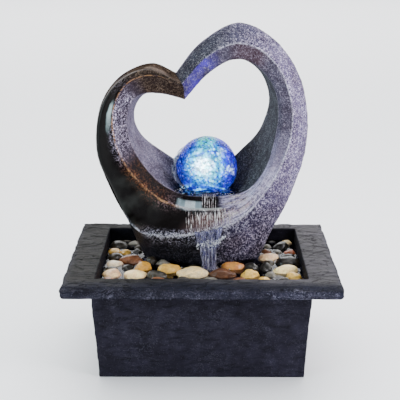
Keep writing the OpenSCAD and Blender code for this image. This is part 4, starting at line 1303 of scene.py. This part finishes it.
def dress_cad():
    """Every CAD node that stays visible gets its own finish."""
    looks = {
        rubber("rubber_pads", srgb(34, 33, 34)): "foot_pads heart_pads",
        rubber("rubber_seals", srgb(26, 26, 28)): "inlet_seal led_seal lead_gland",
        rubber("rubber_cups", srgb(44, 44, 46)): "pump_feet",
        rubber("rubber_ring_red", srgb(150, 38, 28)): "chamber_seal",
        moulded("jack_plastic", srgb(28, 28, 30), 0.35): "inlet_shell inlet_nut",
        moulded("pump_plastic", srgb(40, 40, 44), 0.46): "pump_housing pump_back chamber_lid pump_cover",
        moulded("fitting_plastic", srgb(36, 37, 40), 0.4): "outlet_adapter led_socket led_plug nozzle_insert",
        moulded("slider_plastic", srgb(70, 74, 78), 0.38): "flow_slider",
        moulded("tray_plastic", srgb(30, 30, 34), 0.5, 600, 0.35): "pebble_tray",
        moulded("impeller_plastic", srgb(206, 208, 206), 0.34, 900, 0.2, 0.05): "impeller_wheel",
        moulded("lamp_plastic", srgb(216, 216, 212), 0.36, 900, 0.2, 0.05): "led_housing",
        moulded("lead_pvc", srgb(24, 24, 26), 0.4, 700): "pump_lead led_lead",
        moulded("bush_plastic", srgb(52, 50, 48), 0.5): "shaft_bushes",
        metal("contact_pin", srgb(212, 204, 186), 0.18, 1400): "inlet_pin",
        metal("core_laminations", srgb(132, 134, 140), 0.34, 900): "stator_core",
        metal("ferrite_magnet", srgb(62, 62, 66), 0.5, 300, 0.15): "rotor_magnet",
        wound("copper_winding"): "stator_coils",
        ceramic("shaft_ceramic", srgb(228, 224, 214)): "pump_shaft",
        clear("riser_vinyl", (0.82, 0.88, 0.88), 0.1, 1.5): "riser_tube",
        clear("lens_plastic", (0.86, 0.93, 1.0), 0.16): "led_lens",
        clear("seat_plastic", (0.84, 0.9, 0.97), 0.1): "ball_seat",
        circuit("lamp_board"): "led_board",
        bulb("lamp_bulbs"): "led_bulbs",
    }
    for material, nodes in looks.items():
        for node in nodes.split():
            NODES[node].data.materials.clear()
            NODES[node].data.materials.append(material)


# ---- main
make_camera()
make_floor()
make_light()
make_heart()
make_basin()
for number, pebbles in enumerate(PEBBLES):
    make_pebbles(pebbles, number)
make_ball()
make_ball_film()
make_side_water()
make_cup_water()
make_pool_water()
make_lip_streams()
make_lip_film()
make_ledge_water()
make_fall()
make_drops()
dress_cad()
